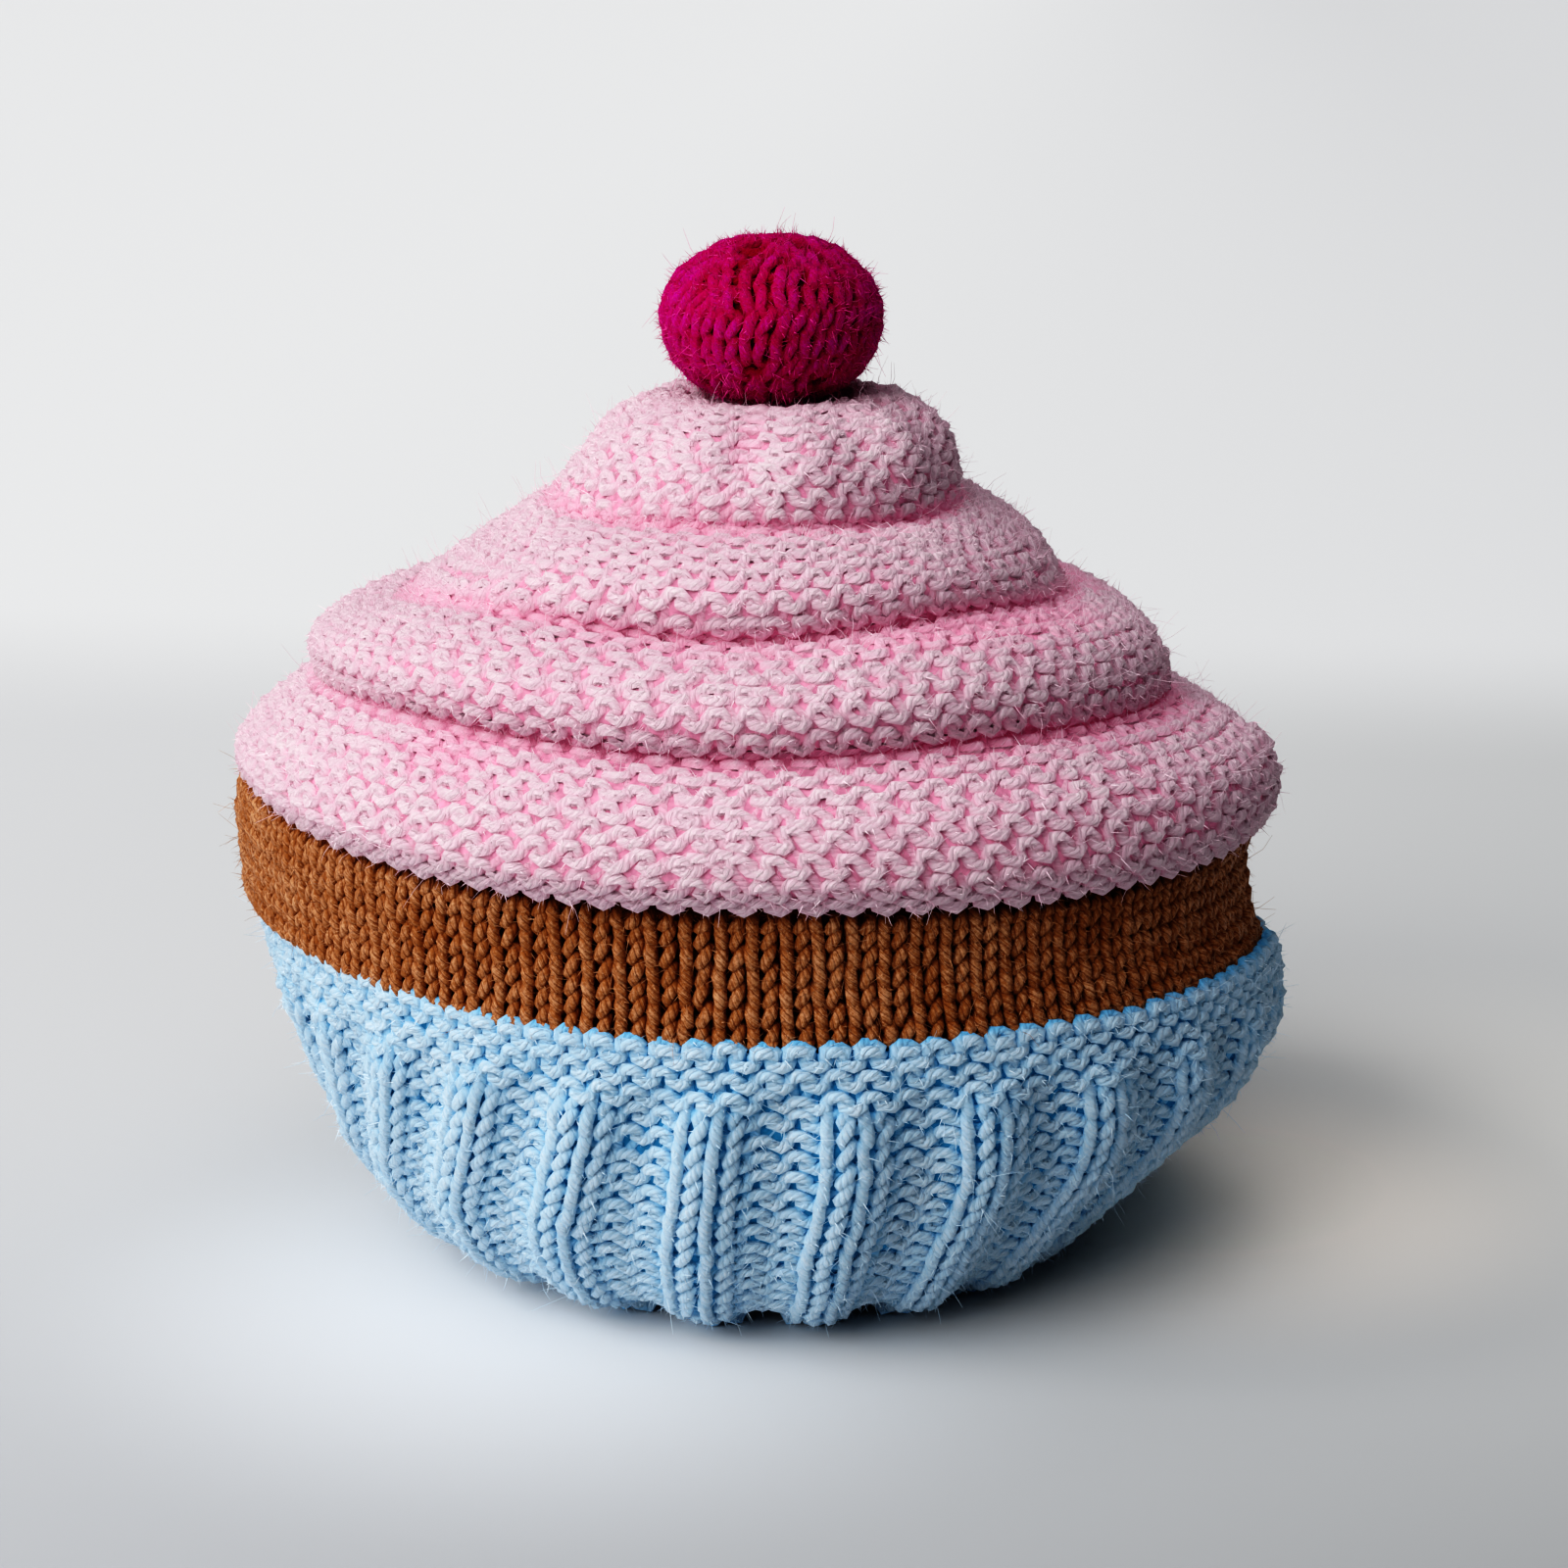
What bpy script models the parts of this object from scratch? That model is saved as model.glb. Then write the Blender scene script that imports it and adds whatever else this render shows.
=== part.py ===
"""Knitted tea cosy in the form of a cupcake, standing empty on its hem.

The wall is knitted as a front and a back half, each in three bands of yarn: a ribbed case, a plain cake
band and an icing of four tucked tiers. The halves meet at the left and right ends, where they part into a
slit for the spout (-X) and one for the handle (+X). A stuffed cherry sits on the gathered top.
Z is up, the front faces -Y, and the origin is under the middle of the cosy on the surface it stands on.
"""

import math
from collections import namedtuple

import bmesh
import bpy
from mathutils import Vector

MM = 0.001

# Driving dimensions
WALL = 3.0 * MM              # thickness of the knitted cloth
SEAM_HALF_GAP = 0.24 * MM    # each half's clearance to the plane where the halves meet
AXIS_X = 1.1 * MM            # the wall's axis, a little right of the middle of its uneven outline
STITCHES_PER_HALF = 50       # knit 2, purl 2, twelve times, and knit 2
RIB_REPEAT = 4               # stitches from one rib to the next
RIB_RELIEF = 1.05 * MM       # how far a knit rib stands out and a purl column lies back
RIB_FADE_FROM = 43.0 * MM    # the ribs run flat into the plain top rows of the case
RIB_FADE_TO = 49.0 * MM
SELVEDGE_FLAT = 0.7          # stitches beside a half's ends that stay without relief
SELVEDGE_FULL = 2.0          # stitches from the ends at which the relief is whole
HEM_NOTCH = 2.4 * MM         # how far the purl columns end above the surface at the hem
HEM_NOTCH_REACH = 6.0 * MM   # the height over which that notch dies out
HEM_STRAIGHT = 2.2 * MM      # height to which the hem hangs plumb, so that its ribs end flat
HEM_SPREAD = 0.15            # how much wider the ribs stand at the front of the hem than at its ends
HEM_TWIST = 0.07             # share of a quarter turn by which the front of the hem is pulled to the left
TOP_SPREAD = 0.013           # the spread and the twist of everything above the belly
TOP_TWIST = 0.010
SPREAD_HEIGHT = 45.0 * MM
PLEATS_PER_HALF = 5          # gathers that radiate from the icing's eye
PLEAT_DEPTH = 0.7 * MM
PLEAT_FROM = 124.0 * MM      # heights between which the pleats grow to their full depth
PLEAT_FULL = 131.0 * MM
PLEAT_FLAT_RADIUS = 3.0      # ring depths, in millimetres, between which they die out at the eye
PLEAT_FULL_RADIUS = 14.0

COLUMNS_PER_STITCH_CASE = 1.5
COLUMNS_PLAIN = 30

# Rings that the wall passes through, in millimetres, from the lower edge of each band to its upper edge.
# height and depth hold at the front and back, left and right are half-widths from the axis, the lifts
# raise the ring at its left and right ends, and the arch raises it midway to them on the front half.
Ring = namedtuple("Ring", "height left right depth lift_left lift_right arch", defaults=(0.0,))

CASE_RINGS = (
    Ring(0.0, 40.0, 42.5, 43.0, 0.0, 0.0),            # hem, hanging straight down
    Ring(2.2, 40.0, 42.5, 43.0, 0.0, 0.0),
    Ring(4.6, 50.5, 47.5, 48.3, 0.0, 0.0),            # tucked in under the belly
    Ring(8.6, 58.0, 52.3, 53.0, 0.0, 0.0),
    Ring(14.0, 63.3, 57.8, 57.5, 0.0, 0.0),
    Ring(21.0, 67.8, 64.6, 61.6, 0.0, 0.0),
    Ring(29.0, 71.2, 72.4, 65.0, 0.8, 0.0),
    Ring(37.0, 74.4, 77.9, 67.2, 1.8, 0.0),
    Ring(45.6, 78.6, 80.0, 68.6, 3.6, -0.3),
    Ring(54.2, 81.6, 79.0, 69.2, 5.6, -0.6, 0.4),     # plain top edge
)

CAKE_RINGS = (
    Ring(55.0, 82.6, 76.0, 67.6, 5.6, -0.6, 0.4),
    Ring(60.8, 83.0, 74.4, 67.7, 5.4, -0.8, 0.2),
    Ring(67.0, 83.4, 73.8, 68.2, 5.2, -1.0),
    Ring(73.2, 82.4, 74.2, 68.8, 5.2, -1.2, -0.6),
)

ICING_RINGS = (
    Ring(74.75, 81.4, 76.8, 71.6, 5.1, -1.4, -0.6),   # lower edge, standing out over the cake band
    Ring(78.6, 83.0, 78.6, 74.6, 3.0, -1.0),
    Ring(84.2, 80.6, 77.0, 73.4, 1.0, -0.6, 0.6),
    Ring(89.2, 76.2, 70.2, 68.6, 0.0, -1.4, 1.2),
    Ring(91.8, 72.6, 65.0, 64.0, -0.8, -2.2, 1.6),
    Ring(93.6, 69.6, 61.2, 60.2, -1.4, -2.8, 1.9),    # first tuck
    Ring(95.8, 70.4, 61.4, 62.9, -1.6, -2.6, 1.9),
    Ring(99.0, 71.0, 60.4, 63.8, -1.2, -1.6, 1.7),
    Ring(103.0, 67.2, 57.0, 60.6, -2.2, -1.6, 2.0),
    Ring(105.8, 61.2, 51.2, 55.2, -3.0, -1.8, 2.5),
    Ring(107.6, 55.4, 45.2, 49.0, -3.4, -2.0, 2.7),   # second tuck
    Ring(109.9, 53.2, 43.8, 50.2, -3.2, -1.8, 2.4),
    Ring(113.0, 48.0, 41.4, 50.6, -2.6, -1.4, 1.6),
    Ring(116.8, 41.4, 36.4, 46.6, -2.0, -1.2, 0.8),
    Ring(119.4, 36.8, 32.0, 40.4, -1.4, -1.2, 0.2),
    Ring(121.0, 33.0, 28.4, 34.0, -0.8, -1.0, -0.4),  # third tuck
    Ring(123.2, 31.2, 28.2, 34.2, -0.4, -0.8, -0.4),
    Ring(127.0, 28.0, 27.4, 32.4, -0.2, -0.4, -0.2),
    Ring(130.8, 24.8, 25.4, 27.6, 0.0, 0.0),
    Ring(133.8, 20.2, 21.2, 21.6, 0.0, 0.0),
    Ring(134.7, 15.4, 14.8, 15.6, 0.0, 0.0),
    Ring(133.6, 9.6, 9.6, 9.6, 0.0, 0.0),             # sunk under the cherry
    Ring(132.2, 3.6, 3.6, 3.6, 0.0, 0.0),             # eye
)

# Slits between the halves, in millimetres: where each starts and ends, how far half of it opens, and how
# far the back half's edge sags below the front's
Slit = namedtuple("Slit", "bottom top half_gap back_sag")
SLIT_FULLNESS = 0.8          # below 1, a slit stays wide for longer before it closes

SPOUT_SLIT = Slit(22.0, 104.0, 12.5, 1.0)
HANDLE_SLIT = Slit(31.0, 109.0, 5.8, 5.5)

CHERRY_RADIUS = 17.1 * MM
CHERRY_HEIGHT = 26.4 * MM
CHERRY_MIDDLE = 147.4 * MM
CHERRY_UNDERSIDE = 0.86      # below 1, the underside is fuller than a ball's
CHERRY_TOP = 1.06            # above 1, the top is leaner than a ball's
CHERRY_DIMPLE = 1.7 * MM     # sink of the middle of its top, and how wide that is
CHERRY_DIMPLE_RADIUS = 4.1 * MM
CHERRY_PUCKERS = 8
CHERRY_PUCKER_DEPTH = 0.35 * MM
CHERRY_PUCKER_FROM = 4.0 * MM    # radius at which the puckers are whole
CHERRY_SIDES = 32
CHERRY_BANDS = 14

# Finishes: colour, roughness, metallic
BLUE_YARN = ((0.42, 0.62, 0.80, 1.0), 0.85, 0.0)
BROWN_YARN = ((0.28, 0.11, 0.02, 1.0), 0.85, 0.0)
PINK_YARN = ((0.78, 0.42, 0.56, 1.0), 0.85, 0.0)
CHERRY_YARN = ((0.45, 0.0, 0.17, 1.0), 0.85, 0.0)


def clear_scene():
    for old in list(bpy.data.objects):
        bpy.data.objects.remove(old, do_unlink=True)


def yarn_material(name, finish):
    colour, roughness, metallic = finish
    material = bpy.data.materials.new(name)
    material.use_nodes = True
    shader = material.node_tree.nodes["Principled BSDF"]
    shader.inputs["Base Color"].default_value = colour
    shader.inputs["Roughness"].default_value = roughness
    shader.inputs["Metallic"].default_value = metallic
    return material


def smooth_step(value, start, end):
    """0 below start, 1 above end, and a soft rise between them."""
    share = min(max((value - start) / (end - start), 0.0), 1.0)
    return share * share * (3.0 - 2.0 * share)


def slit_opening(slit, height_mm):
    """How far a slit is open at a height, from 0 at its ends to 1 in its middle."""
    share = (height_mm - slit.bottom) / (slit.top - slit.bottom)
    return math.sin(math.pi * min(max(share, 0.0), 1.0)) ** SLIT_FULLNESS


def end_angle(ring, slit):
    """Angle from the front at which a half of the wall stops, beside its seam or slit."""
    half_gap = SEAM_HALF_GAP + slit.half_gap * MM * slit_opening(slit, ring.height)
    return math.acos(half_gap / (ring.depth * MM))


def stitch_angle(ring, stitch):
    """Angle from the front of a place along the row, counted in stitches from the left end."""
    across = 2.0 * stitch / STITCHES_PER_HALF - 1.0
    fade = max(0.0, 1.0 - max(ring.height * MM, HEM_STRAIGHT) / SPREAD_HEIGHT)
    spread = TOP_SPREAD + (HEM_SPREAD - TOP_SPREAD) * fade
    twist = (TOP_TWIST + (HEM_TWIST - TOP_TWIST) * fade) * math.cos(0.5 * math.pi * across)
    share = across + spread * math.sin(math.pi * across) - twist
    slit = SPOUT_SLIT if across < 0.0 else HANDLE_SLIT
    return share * end_angle(ring, slit)


def rib_wave(stitch):
    """1 on a knit rib, -1 on a purl column."""
    return math.cos(2.0 * math.pi * (stitch - 1.0) / RIB_REPEAT)


def selvedge_fade(stitch):
    """0 along a half's left and right ends and 1 past its selvedge."""
    return smooth_step(min(stitch, STITCHES_PER_HALF - stitch), SELVEDGE_FLAT, SELVEDGE_FULL)


def wall_point(ring, stitch, face, relief, rise):
    """A point of the wall's middle surface. face is -1 on the front half and 1 on the back half."""
    angle = stitch_angle(ring, stitch)
    half_width = (ring.left if angle < 0.0 else ring.right) * MM
    depth = ring.depth * MM
    lift = (ring.lift_left if angle < 0.0 else ring.lift_right) * MM
    if face > 0:
        slit = SPOUT_SLIT if angle < 0.0 else HANDLE_SLIT
        lift -= slit.back_sag * MM * slit_opening(slit, ring.height)
    outward = Vector((math.sin(angle) / half_width, face * math.cos(angle) / depth, 0.0)).normalized()
    height = ring.height * MM + lift * math.sin(angle) ** 2 + rise
    if face < 0:
        height += ring.arch * MM * math.sin(2.0 * angle) ** 2
    point = Vector((AXIS_X + half_width * math.sin(angle), face * depth * math.cos(angle), height))
    return point + outward * relief


def case_shape(ring, stitch):
    """Relief and rise of the ribbed case: ribs stand out, and purl columns end above the hem."""
    wave = rib_wave(stitch) * selvedge_fade(stitch)
    height = ring.height * MM
    strength = 1.0 - smooth_step(height, RIB_FADE_FROM, RIB_FADE_TO)
    notch = max(0.0, 1.0 - height / HEM_NOTCH_REACH)
    return RIB_RELIEF * wave * strength, HEM_NOTCH * notch * max(0.0, -wave)


def cake_shape(ring, stitch):
    return 0.0, 0.0


def icing_shape(ring, stitch):
    """Relief of the icing: shallow pleats that deepen towards the gathered eye."""
    height = ring.height * MM
    strength = smooth_step(height, PLEAT_FROM, PLEAT_FULL)
    strength *= smooth_step(ring.depth, PLEAT_FLAT_RADIUS, PLEAT_FULL_RADIUS)
    turn = 2.0 * math.pi * PLEATS_PER_HALF * stitch / STITCHES_PER_HALF
    return PLEAT_DEPTH * math.cos(turn) * strength * selvedge_fade(stitch), 0.0


def knitted_half(name, rings, columns, shape, face, material, collection):
    """One band of one half of the wall, as a grid over its rings with the cloth's thickness."""
    grid = bmesh.new()
    rows = []
    for ring in rings:
        row = []
        for column in range(columns + 1):
            stitch = STITCHES_PER_HALF * column / columns
            relief, rise = shape(ring, stitch)
            row.append(grid.verts.new(wall_point(ring, stitch, face, relief, rise)))
        rows.append(row)
    for lower, upper in zip(rows, rows[1:]):
        for column in range(columns):
            corners = [lower[column], lower[column + 1], upper[column + 1], upper[column]]
            if face > 0:
                corners.reverse()
            grid.faces.new(corners)
    mesh = bpy.data.meshes.new(name)
    grid.to_mesh(mesh)
    grid.free()
    mesh.materials.append(material)
    mesh.shade_smooth()
    band = bpy.data.objects.new(name, mesh)
    collection.objects.link(band)
    thicken = band.modifiers.new("cloth thickness", "SOLIDIFY")
    thicken.thickness = WALL
    thicken.offset = 0.0
    return band


def cherry_ring(angle):
    """Radius and height of the cherry at an angle from its underside, which is 0, to its gathered top."""
    upper = angle > 0.5 * math.pi
    radius = CHERRY_RADIUS * math.sin(angle) ** (CHERRY_TOP if upper else CHERRY_UNDERSIDE)
    height = -0.5 * CHERRY_HEIGHT * math.cos(angle)
    if upper:
        height -= CHERRY_DIMPLE * math.exp(-(radius / CHERRY_DIMPLE_RADIUS) ** 2)
    return radius, height


def stuffed_cherry(name, material, collection):
    """The cherry: a ball flattened by its stuffing, puckered where its top is drawn together."""
    ball = bmesh.new()
    bmesh.ops.create_uvsphere(ball, u_segments=CHERRY_SIDES, v_segments=CHERRY_BANDS, radius=1.0)
    for vert in ball.verts:
        radius, height = cherry_ring(math.acos(max(-1.0, min(1.0, -vert.co.z))))
        around = math.atan2(vert.co.y, vert.co.x)
        top = smooth_step(height, 0.0, 0.5 * CHERRY_HEIGHT) * smooth_step(radius, 0.0, CHERRY_PUCKER_FROM)
        radius += CHERRY_PUCKER_DEPTH * math.cos(CHERRY_PUCKERS * around) * top
        vert.co = Vector((
            AXIS_X + radius * math.cos(around),
            radius * math.sin(around),
            CHERRY_MIDDLE + height,
        ))
    mesh = bpy.data.meshes.new(name)
    ball.to_mesh(mesh)
    ball.free()
    mesh.materials.append(material)
    mesh.shade_smooth()
    cherry = bpy.data.objects.new(name, mesh)
    collection.objects.link(cherry)
    return cherry


def build():
    clear_scene()
    cosy = bpy.data.collections.new("tea_cosy")
    bpy.context.scene.collection.children.link(cosy)
    blue = yarn_material("blue yarn", BLUE_YARN)
    brown = yarn_material("brown yarn", BROWN_YARN)
    pink = yarn_material("pink yarn", PINK_YARN)
    magenta = yarn_material("cherry yarn", CHERRY_YARN)
    case_columns = round(STITCHES_PER_HALF * COLUMNS_PER_STITCH_CASE)
    for side, face in (("front", -1), ("back", 1)):
        knitted_half("case_" + side, CASE_RINGS, case_columns, case_shape, face, blue, cosy)
        knitted_half("cake_" + side, CAKE_RINGS, COLUMNS_PLAIN, cake_shape, face, brown, cosy)
        knitted_half("icing_" + side, ICING_RINGS, COLUMNS_PLAIN, icing_shape, face, pink, cosy)
    stuffed_cherry("cherry", magenta, cosy)


build()
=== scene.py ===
import math
from collections import namedtuple

import bpy
import numpy as np
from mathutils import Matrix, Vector


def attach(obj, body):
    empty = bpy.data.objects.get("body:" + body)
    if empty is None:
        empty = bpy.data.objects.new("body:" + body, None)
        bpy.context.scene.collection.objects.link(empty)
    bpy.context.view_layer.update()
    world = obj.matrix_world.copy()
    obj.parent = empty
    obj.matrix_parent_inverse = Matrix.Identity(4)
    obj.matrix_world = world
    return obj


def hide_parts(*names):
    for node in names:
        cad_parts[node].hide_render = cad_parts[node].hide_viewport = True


# A knitted tea cosy in the form of a cupcake, in two halves of three yarns, with a stuffed cherry on top.
# Lengths are in millimetres until a mesh is made. The front faces -Y, the spout's slit is at -X.

mm = 0.001
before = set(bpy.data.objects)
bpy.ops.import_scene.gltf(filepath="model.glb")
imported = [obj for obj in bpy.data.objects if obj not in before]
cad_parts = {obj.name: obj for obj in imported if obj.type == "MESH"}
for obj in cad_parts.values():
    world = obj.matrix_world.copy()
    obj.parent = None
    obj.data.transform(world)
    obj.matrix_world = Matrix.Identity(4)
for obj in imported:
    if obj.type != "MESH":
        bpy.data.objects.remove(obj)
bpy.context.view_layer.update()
print("frame loaded")


cameraSettings = {
    "azimuth": 6.0,             # degrees round from the front, towards the handle's side
    "elevation": 15.0,
    "distance": 550.0,
    "aim": (1.1, 0.0, 73.5),
    "frameWidth": 1600.0,       # the frame's width in pixels, and the lens and shift in the same pixels
    "lensPixels": 3547.0,
    "shiftPixels": 13.0,
    "sensorWidth": 36.0,
    "clipStart": 0.01,
}


def makeCamera(settings):
    azimuth = math.radians(settings["azimuth"])
    elevation = math.radians(settings["elevation"])
    back = Vector((
        math.sin(azimuth) * math.cos(elevation),
        -math.cos(azimuth) * math.cos(elevation),
        math.sin(elevation),
    ))
    camera = placed("camera", bpy.data.cameras.new("camera"))
    camera.location = (Vector(settings["aim"]) + back * settings["distance"]) * mm
    camera.rotation_euler = back.to_track_quat("Z", "Y").to_euler()
    camera.data.sensor_width = settings["sensorWidth"]
    camera.data.lens = settings["lensPixels"] / settings["frameWidth"] * settings["sensorWidth"]
    camera.data.shift_x = settings["shiftPixels"] / settings["frameWidth"]
    camera.data.clip_start = settings["clipStart"]
    bpy.context.scene.camera = camera


class Sum:
    # One socket of a tree of nodes. Sums, products and the like on it add Math nodes.
    def __init__(self, tree, socket):
        self.tree = tree
        self.socket = socket

    def __getitem__(self, output):
        # another output of the same node
        return Sum(self.tree, self.socket.node.outputs[output])

    def node(self, kind, sockets=None, output=0, **settings):
        made = self.tree.nodes.new(kind)
        for name, value in settings.items():
            setattr(made, name, value)
        for name, value in (sockets or {}).items():
            if isinstance(value, Sum):
                self.tree.links.new(value.socket, made.inputs[name])
            else:
                made.inputs[name].default_value = value
        return Sum(self.tree, made.outputs[output]) if len(made.outputs) else None

    def maths(self, operation, first, second=0.0):
        return self.node("ShaderNodeMath", {0: first, 1: second}, operation=operation)

    def vector(self, operation, second=None, output=0):
        # this vector with another or, to scale it, with a number
        sockets = {0: self}
        if second is not None:
            sockets["Scale" if operation == "SCALE" else 1] = second
        return self.node("ShaderNodeVectorMath", sockets, output, operation=operation)

    def __add__(self, other):
        return self.maths("ADD", self, other)

    def __radd__(self, other):
        return self.maths("ADD", other, self)

    def __sub__(self, other):
        return self.maths("SUBTRACT", self, other)

    def __rsub__(self, other):
        return self.maths("SUBTRACT", other, self)

    def __mul__(self, other):
        return self.maths("MULTIPLY", self, other)

    def __rmul__(self, other):
        return self.maths("MULTIPLY", other, self)

    def mix(self, first, second):
        # first where this value is 0 and second where it is 1; both are colours
        return self.node("ShaderNodeMix", {"Factor": self, 6: first, 7: second}, 2, data_type="RGBA")

    def between(self, low, high):
        # 0 at low, 1 at high, soft between
        sockets = {"Value": self, "From Min": low, "From Max": high}
        return self.node("ShaderNodeMapRange", sockets, interpolation_type="SMOOTHSTEP")


def newMaterial(name, constants):
    # a material, its shader with these constants on its own sockets, and a start for its nodes
    material = bpy.data.materials.new(name)
    material.use_nodes = True
    shader = material.node_tree.nodes["Principled BSDF"]
    for socket, value in constants.items():
        shader.inputs[socket].default_value = value
    return material, shader, Sum(material.node_tree, None)


def joinSocket(shader, name, value):
    value.tree.links.new(value.socket, shader.inputs[name])


def placed(name, data):
    # an object of this mesh, lamp or camera, in the scene
    made = bpy.data.objects.new(name, data)
    bpy.context.scene.collection.objects.link(made)
    return made


# the form of the wall, which is the solids' form
wall = {
    "axisX": 1.1,
    "stitches": 50,             # across each half: knit 2, purl 2, twelve times, and knit 2
    "seamHalfGap": 0.24,
    "ribRepeat": 4,
    "ribKnit": 2,
    "ribRelief": 1.35,          # how far a knit rib stands out and a purl column lies back
    "ribFade": (43.0, 49.0),    # heights between which the ribs run flat
    "hemNotch": 3.6,
    "hemNotchReach": 7.0,
    "hemPuff": (0.9, 4.0, 4.5),     # how far the ribs' lower ends swell, at what height, and how far from it
    "hemStraight": 2.2,
    "hemSpread": 0.15,          # the ribs stand wider at the front of the hem than at its ends
    "hemTwist": 0.07,
    "topSpread": 0.013,
    "topTwist": 0.010,
    "spreadHeight": 45.0,
    "pleats": 5,
    "pleatDepth": 0.9,
    "pleatRise": (124.0, 131.0),
    "pleatRadii": (3.0, 14.0),
    "selvedge": (0.2, 1.6),     # stitches from a half's ends, between which its relief begins
    "notchSteepness": 1.5,      # how sharply the hem's arches begin beside the ribs
}

# height and depth hold at the front and back, left and right are half-widths from the axis, the lifts raise
# the ring at its ends, and the arch raises it midway to them on the front half
Ring = namedtuple("Ring", "height left right depth liftLeft liftRight arch", defaults=(0.0,))
Slit = namedtuple("Slit", "bottom top halfGap backSag")

spoutSlit = Slit(22.0, 104.0, 12.5, 1.0)
handleSlit = Slit(31.0, 109.0, 5.8, 5.5)
slitFullness = 0.8

caseRings = (
    Ring(0.0, 40.0, 42.5, 43.0, 0.0, 0.0),            # hem
    Ring(2.2, 40.0, 42.5, 43.0, 0.0, 0.0),
    Ring(4.6, 50.5, 47.5, 48.3, 0.0, 0.0),
    Ring(8.6, 58.0, 52.3, 53.0, 0.0, 0.0),
    Ring(14.0, 63.3, 57.8, 57.5, 0.0, 0.0),
    Ring(21.0, 67.8, 64.6, 61.6, 0.0, 0.0),
    Ring(29.0, 71.2, 72.4, 65.0, 0.8, 0.0),
    Ring(37.0, 74.4, 77.9, 67.2, 1.8, 0.0),
    Ring(45.6, 78.6, 80.0, 68.6, 3.6, -0.3),
    Ring(54.2, 81.6, 79.0, 69.2, 5.6, -0.6, 0.4),
)
cakeRings = (
    Ring(55.0, 82.6, 76.0, 67.6, 5.6, -0.6, 0.4),
    Ring(60.8, 83.0, 74.4, 67.7, 5.4, -0.8, 0.2),
    Ring(67.0, 83.4, 73.8, 68.2, 5.2, -1.0),
    Ring(73.2, 82.4, 74.2, 68.8, 5.2, -1.2, -0.6),
)
icingRings = (
    Ring(74.75, 81.4, 76.8, 71.6, 5.1, -1.4, -0.6),   # lower edge, out over the cake
    Ring(78.6, 83.0, 78.6, 74.6, 3.0, -1.0),
    Ring(84.2, 80.6, 77.0, 73.4, 1.0, -0.6, 0.6),
    Ring(89.2, 76.2, 70.2, 68.6, 0.0, -1.4, 1.2),
    Ring(91.8, 72.6, 65.0, 64.0, -0.8, -2.2, 1.6),
    Ring(93.6, 69.6, 61.2, 60.2, -1.4, -2.8, 1.9),    # first tuck
    Ring(95.8, 70.4, 61.4, 62.9, -1.6, -2.6, 1.9),
    Ring(99.0, 71.0, 60.4, 63.8, -1.2, -1.6, 1.7),
    Ring(103.0, 67.2, 57.0, 60.6, -2.2, -1.6, 2.0),
    Ring(105.8, 61.2, 51.2, 55.2, -3.0, -1.8, 2.5),
    Ring(107.6, 55.4, 45.2, 49.0, -3.4, -2.0, 2.7),   # second tuck
    Ring(109.9, 53.2, 43.8, 50.2, -3.2, -1.8, 2.4),
    Ring(113.0, 48.0, 41.4, 50.6, -2.6, -1.4, 1.6),
    Ring(116.8, 41.4, 36.4, 46.6, -2.0, -1.2, 0.8),
    Ring(119.4, 36.8, 32.0, 40.4, -1.4, -1.2, 0.2),
    Ring(121.0, 33.0, 28.4, 34.0, -0.8, -1.0, -0.4),  # third tuck
    Ring(123.2, 31.2, 28.2, 34.2, -0.4, -0.8, -0.4),
    Ring(127.0, 28.0, 27.4, 32.4, -0.2, -0.4, -0.2),
    Ring(130.8, 24.8, 25.4, 27.6, 0.0, 0.0),
    Ring(133.8, 20.2, 21.2, 21.6, 0.0, 0.0),
    Ring(134.7, 15.4, 14.8, 15.6, 0.0, 0.0),
    Ring(133.6, 9.6, 9.6, 9.6, 0.0, 0.0),             # sunk under the cherry
    Ring(132.2, 3.6, 3.6, 3.6, 0.0, 0.0),             # eye
)


def smoothStep(value, start, end):
    share = np.clip((value - start) / (end - start), 0.0, 1.0)
    return share * share * (3.0 - 2.0 * share)


def profileOf(rings):
    # the rings with their distance along the front's outline, for a smooth curve through them
    table = np.array(rings)
    steps = np.hypot(np.diff(table[:, 0]), np.diff(table[:, 3]))
    distance = np.concatenate(([0.0], np.cumsum(steps)))
    return {"distance": distance, "table": table, "slopes": np.gradient(table, distance, axis=0)}


def ringAt(profile, distance):
    knots, table, slopes = profile["distance"], profile["table"], profile["slopes"]
    index = np.clip(np.searchsorted(knots, distance) - 1, 0, len(knots) - 2)
    span = (knots[index + 1] - knots[index])[..., None]
    raw = ((distance - knots[index]) / span[..., 0])[..., None]
    t = np.clip(raw, 0.0, 1.0)
    low = table[index] * (1 + 2 * t) * (1 - t) ** 2 + slopes[index] * span * t * (1 - t) ** 2
    high = table[index + 1] * t * t * (3 - 2 * t) + slopes[index + 1] * span * t * t * (t - 1)
    past = np.where(raw < 0, slopes[index], slopes[index + 1]) * (raw - t) * span
    return low + high + past


def slitOpening(slit, height):
    share = np.clip((height - slit.bottom) / (slit.top - slit.bottom), 0.0, 1.0)
    return np.sin(np.pi * share) ** slitFullness


def ribWave(stitch):
    return np.cos(2.0 * np.pi * (stitch - 1.0) / wall["ribRepeat"])


def selvedgeFade(stitch):
    return smoothStep(np.minimum(stitch, wall["stitches"] - stitch), *wall["selvedge"])


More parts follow.
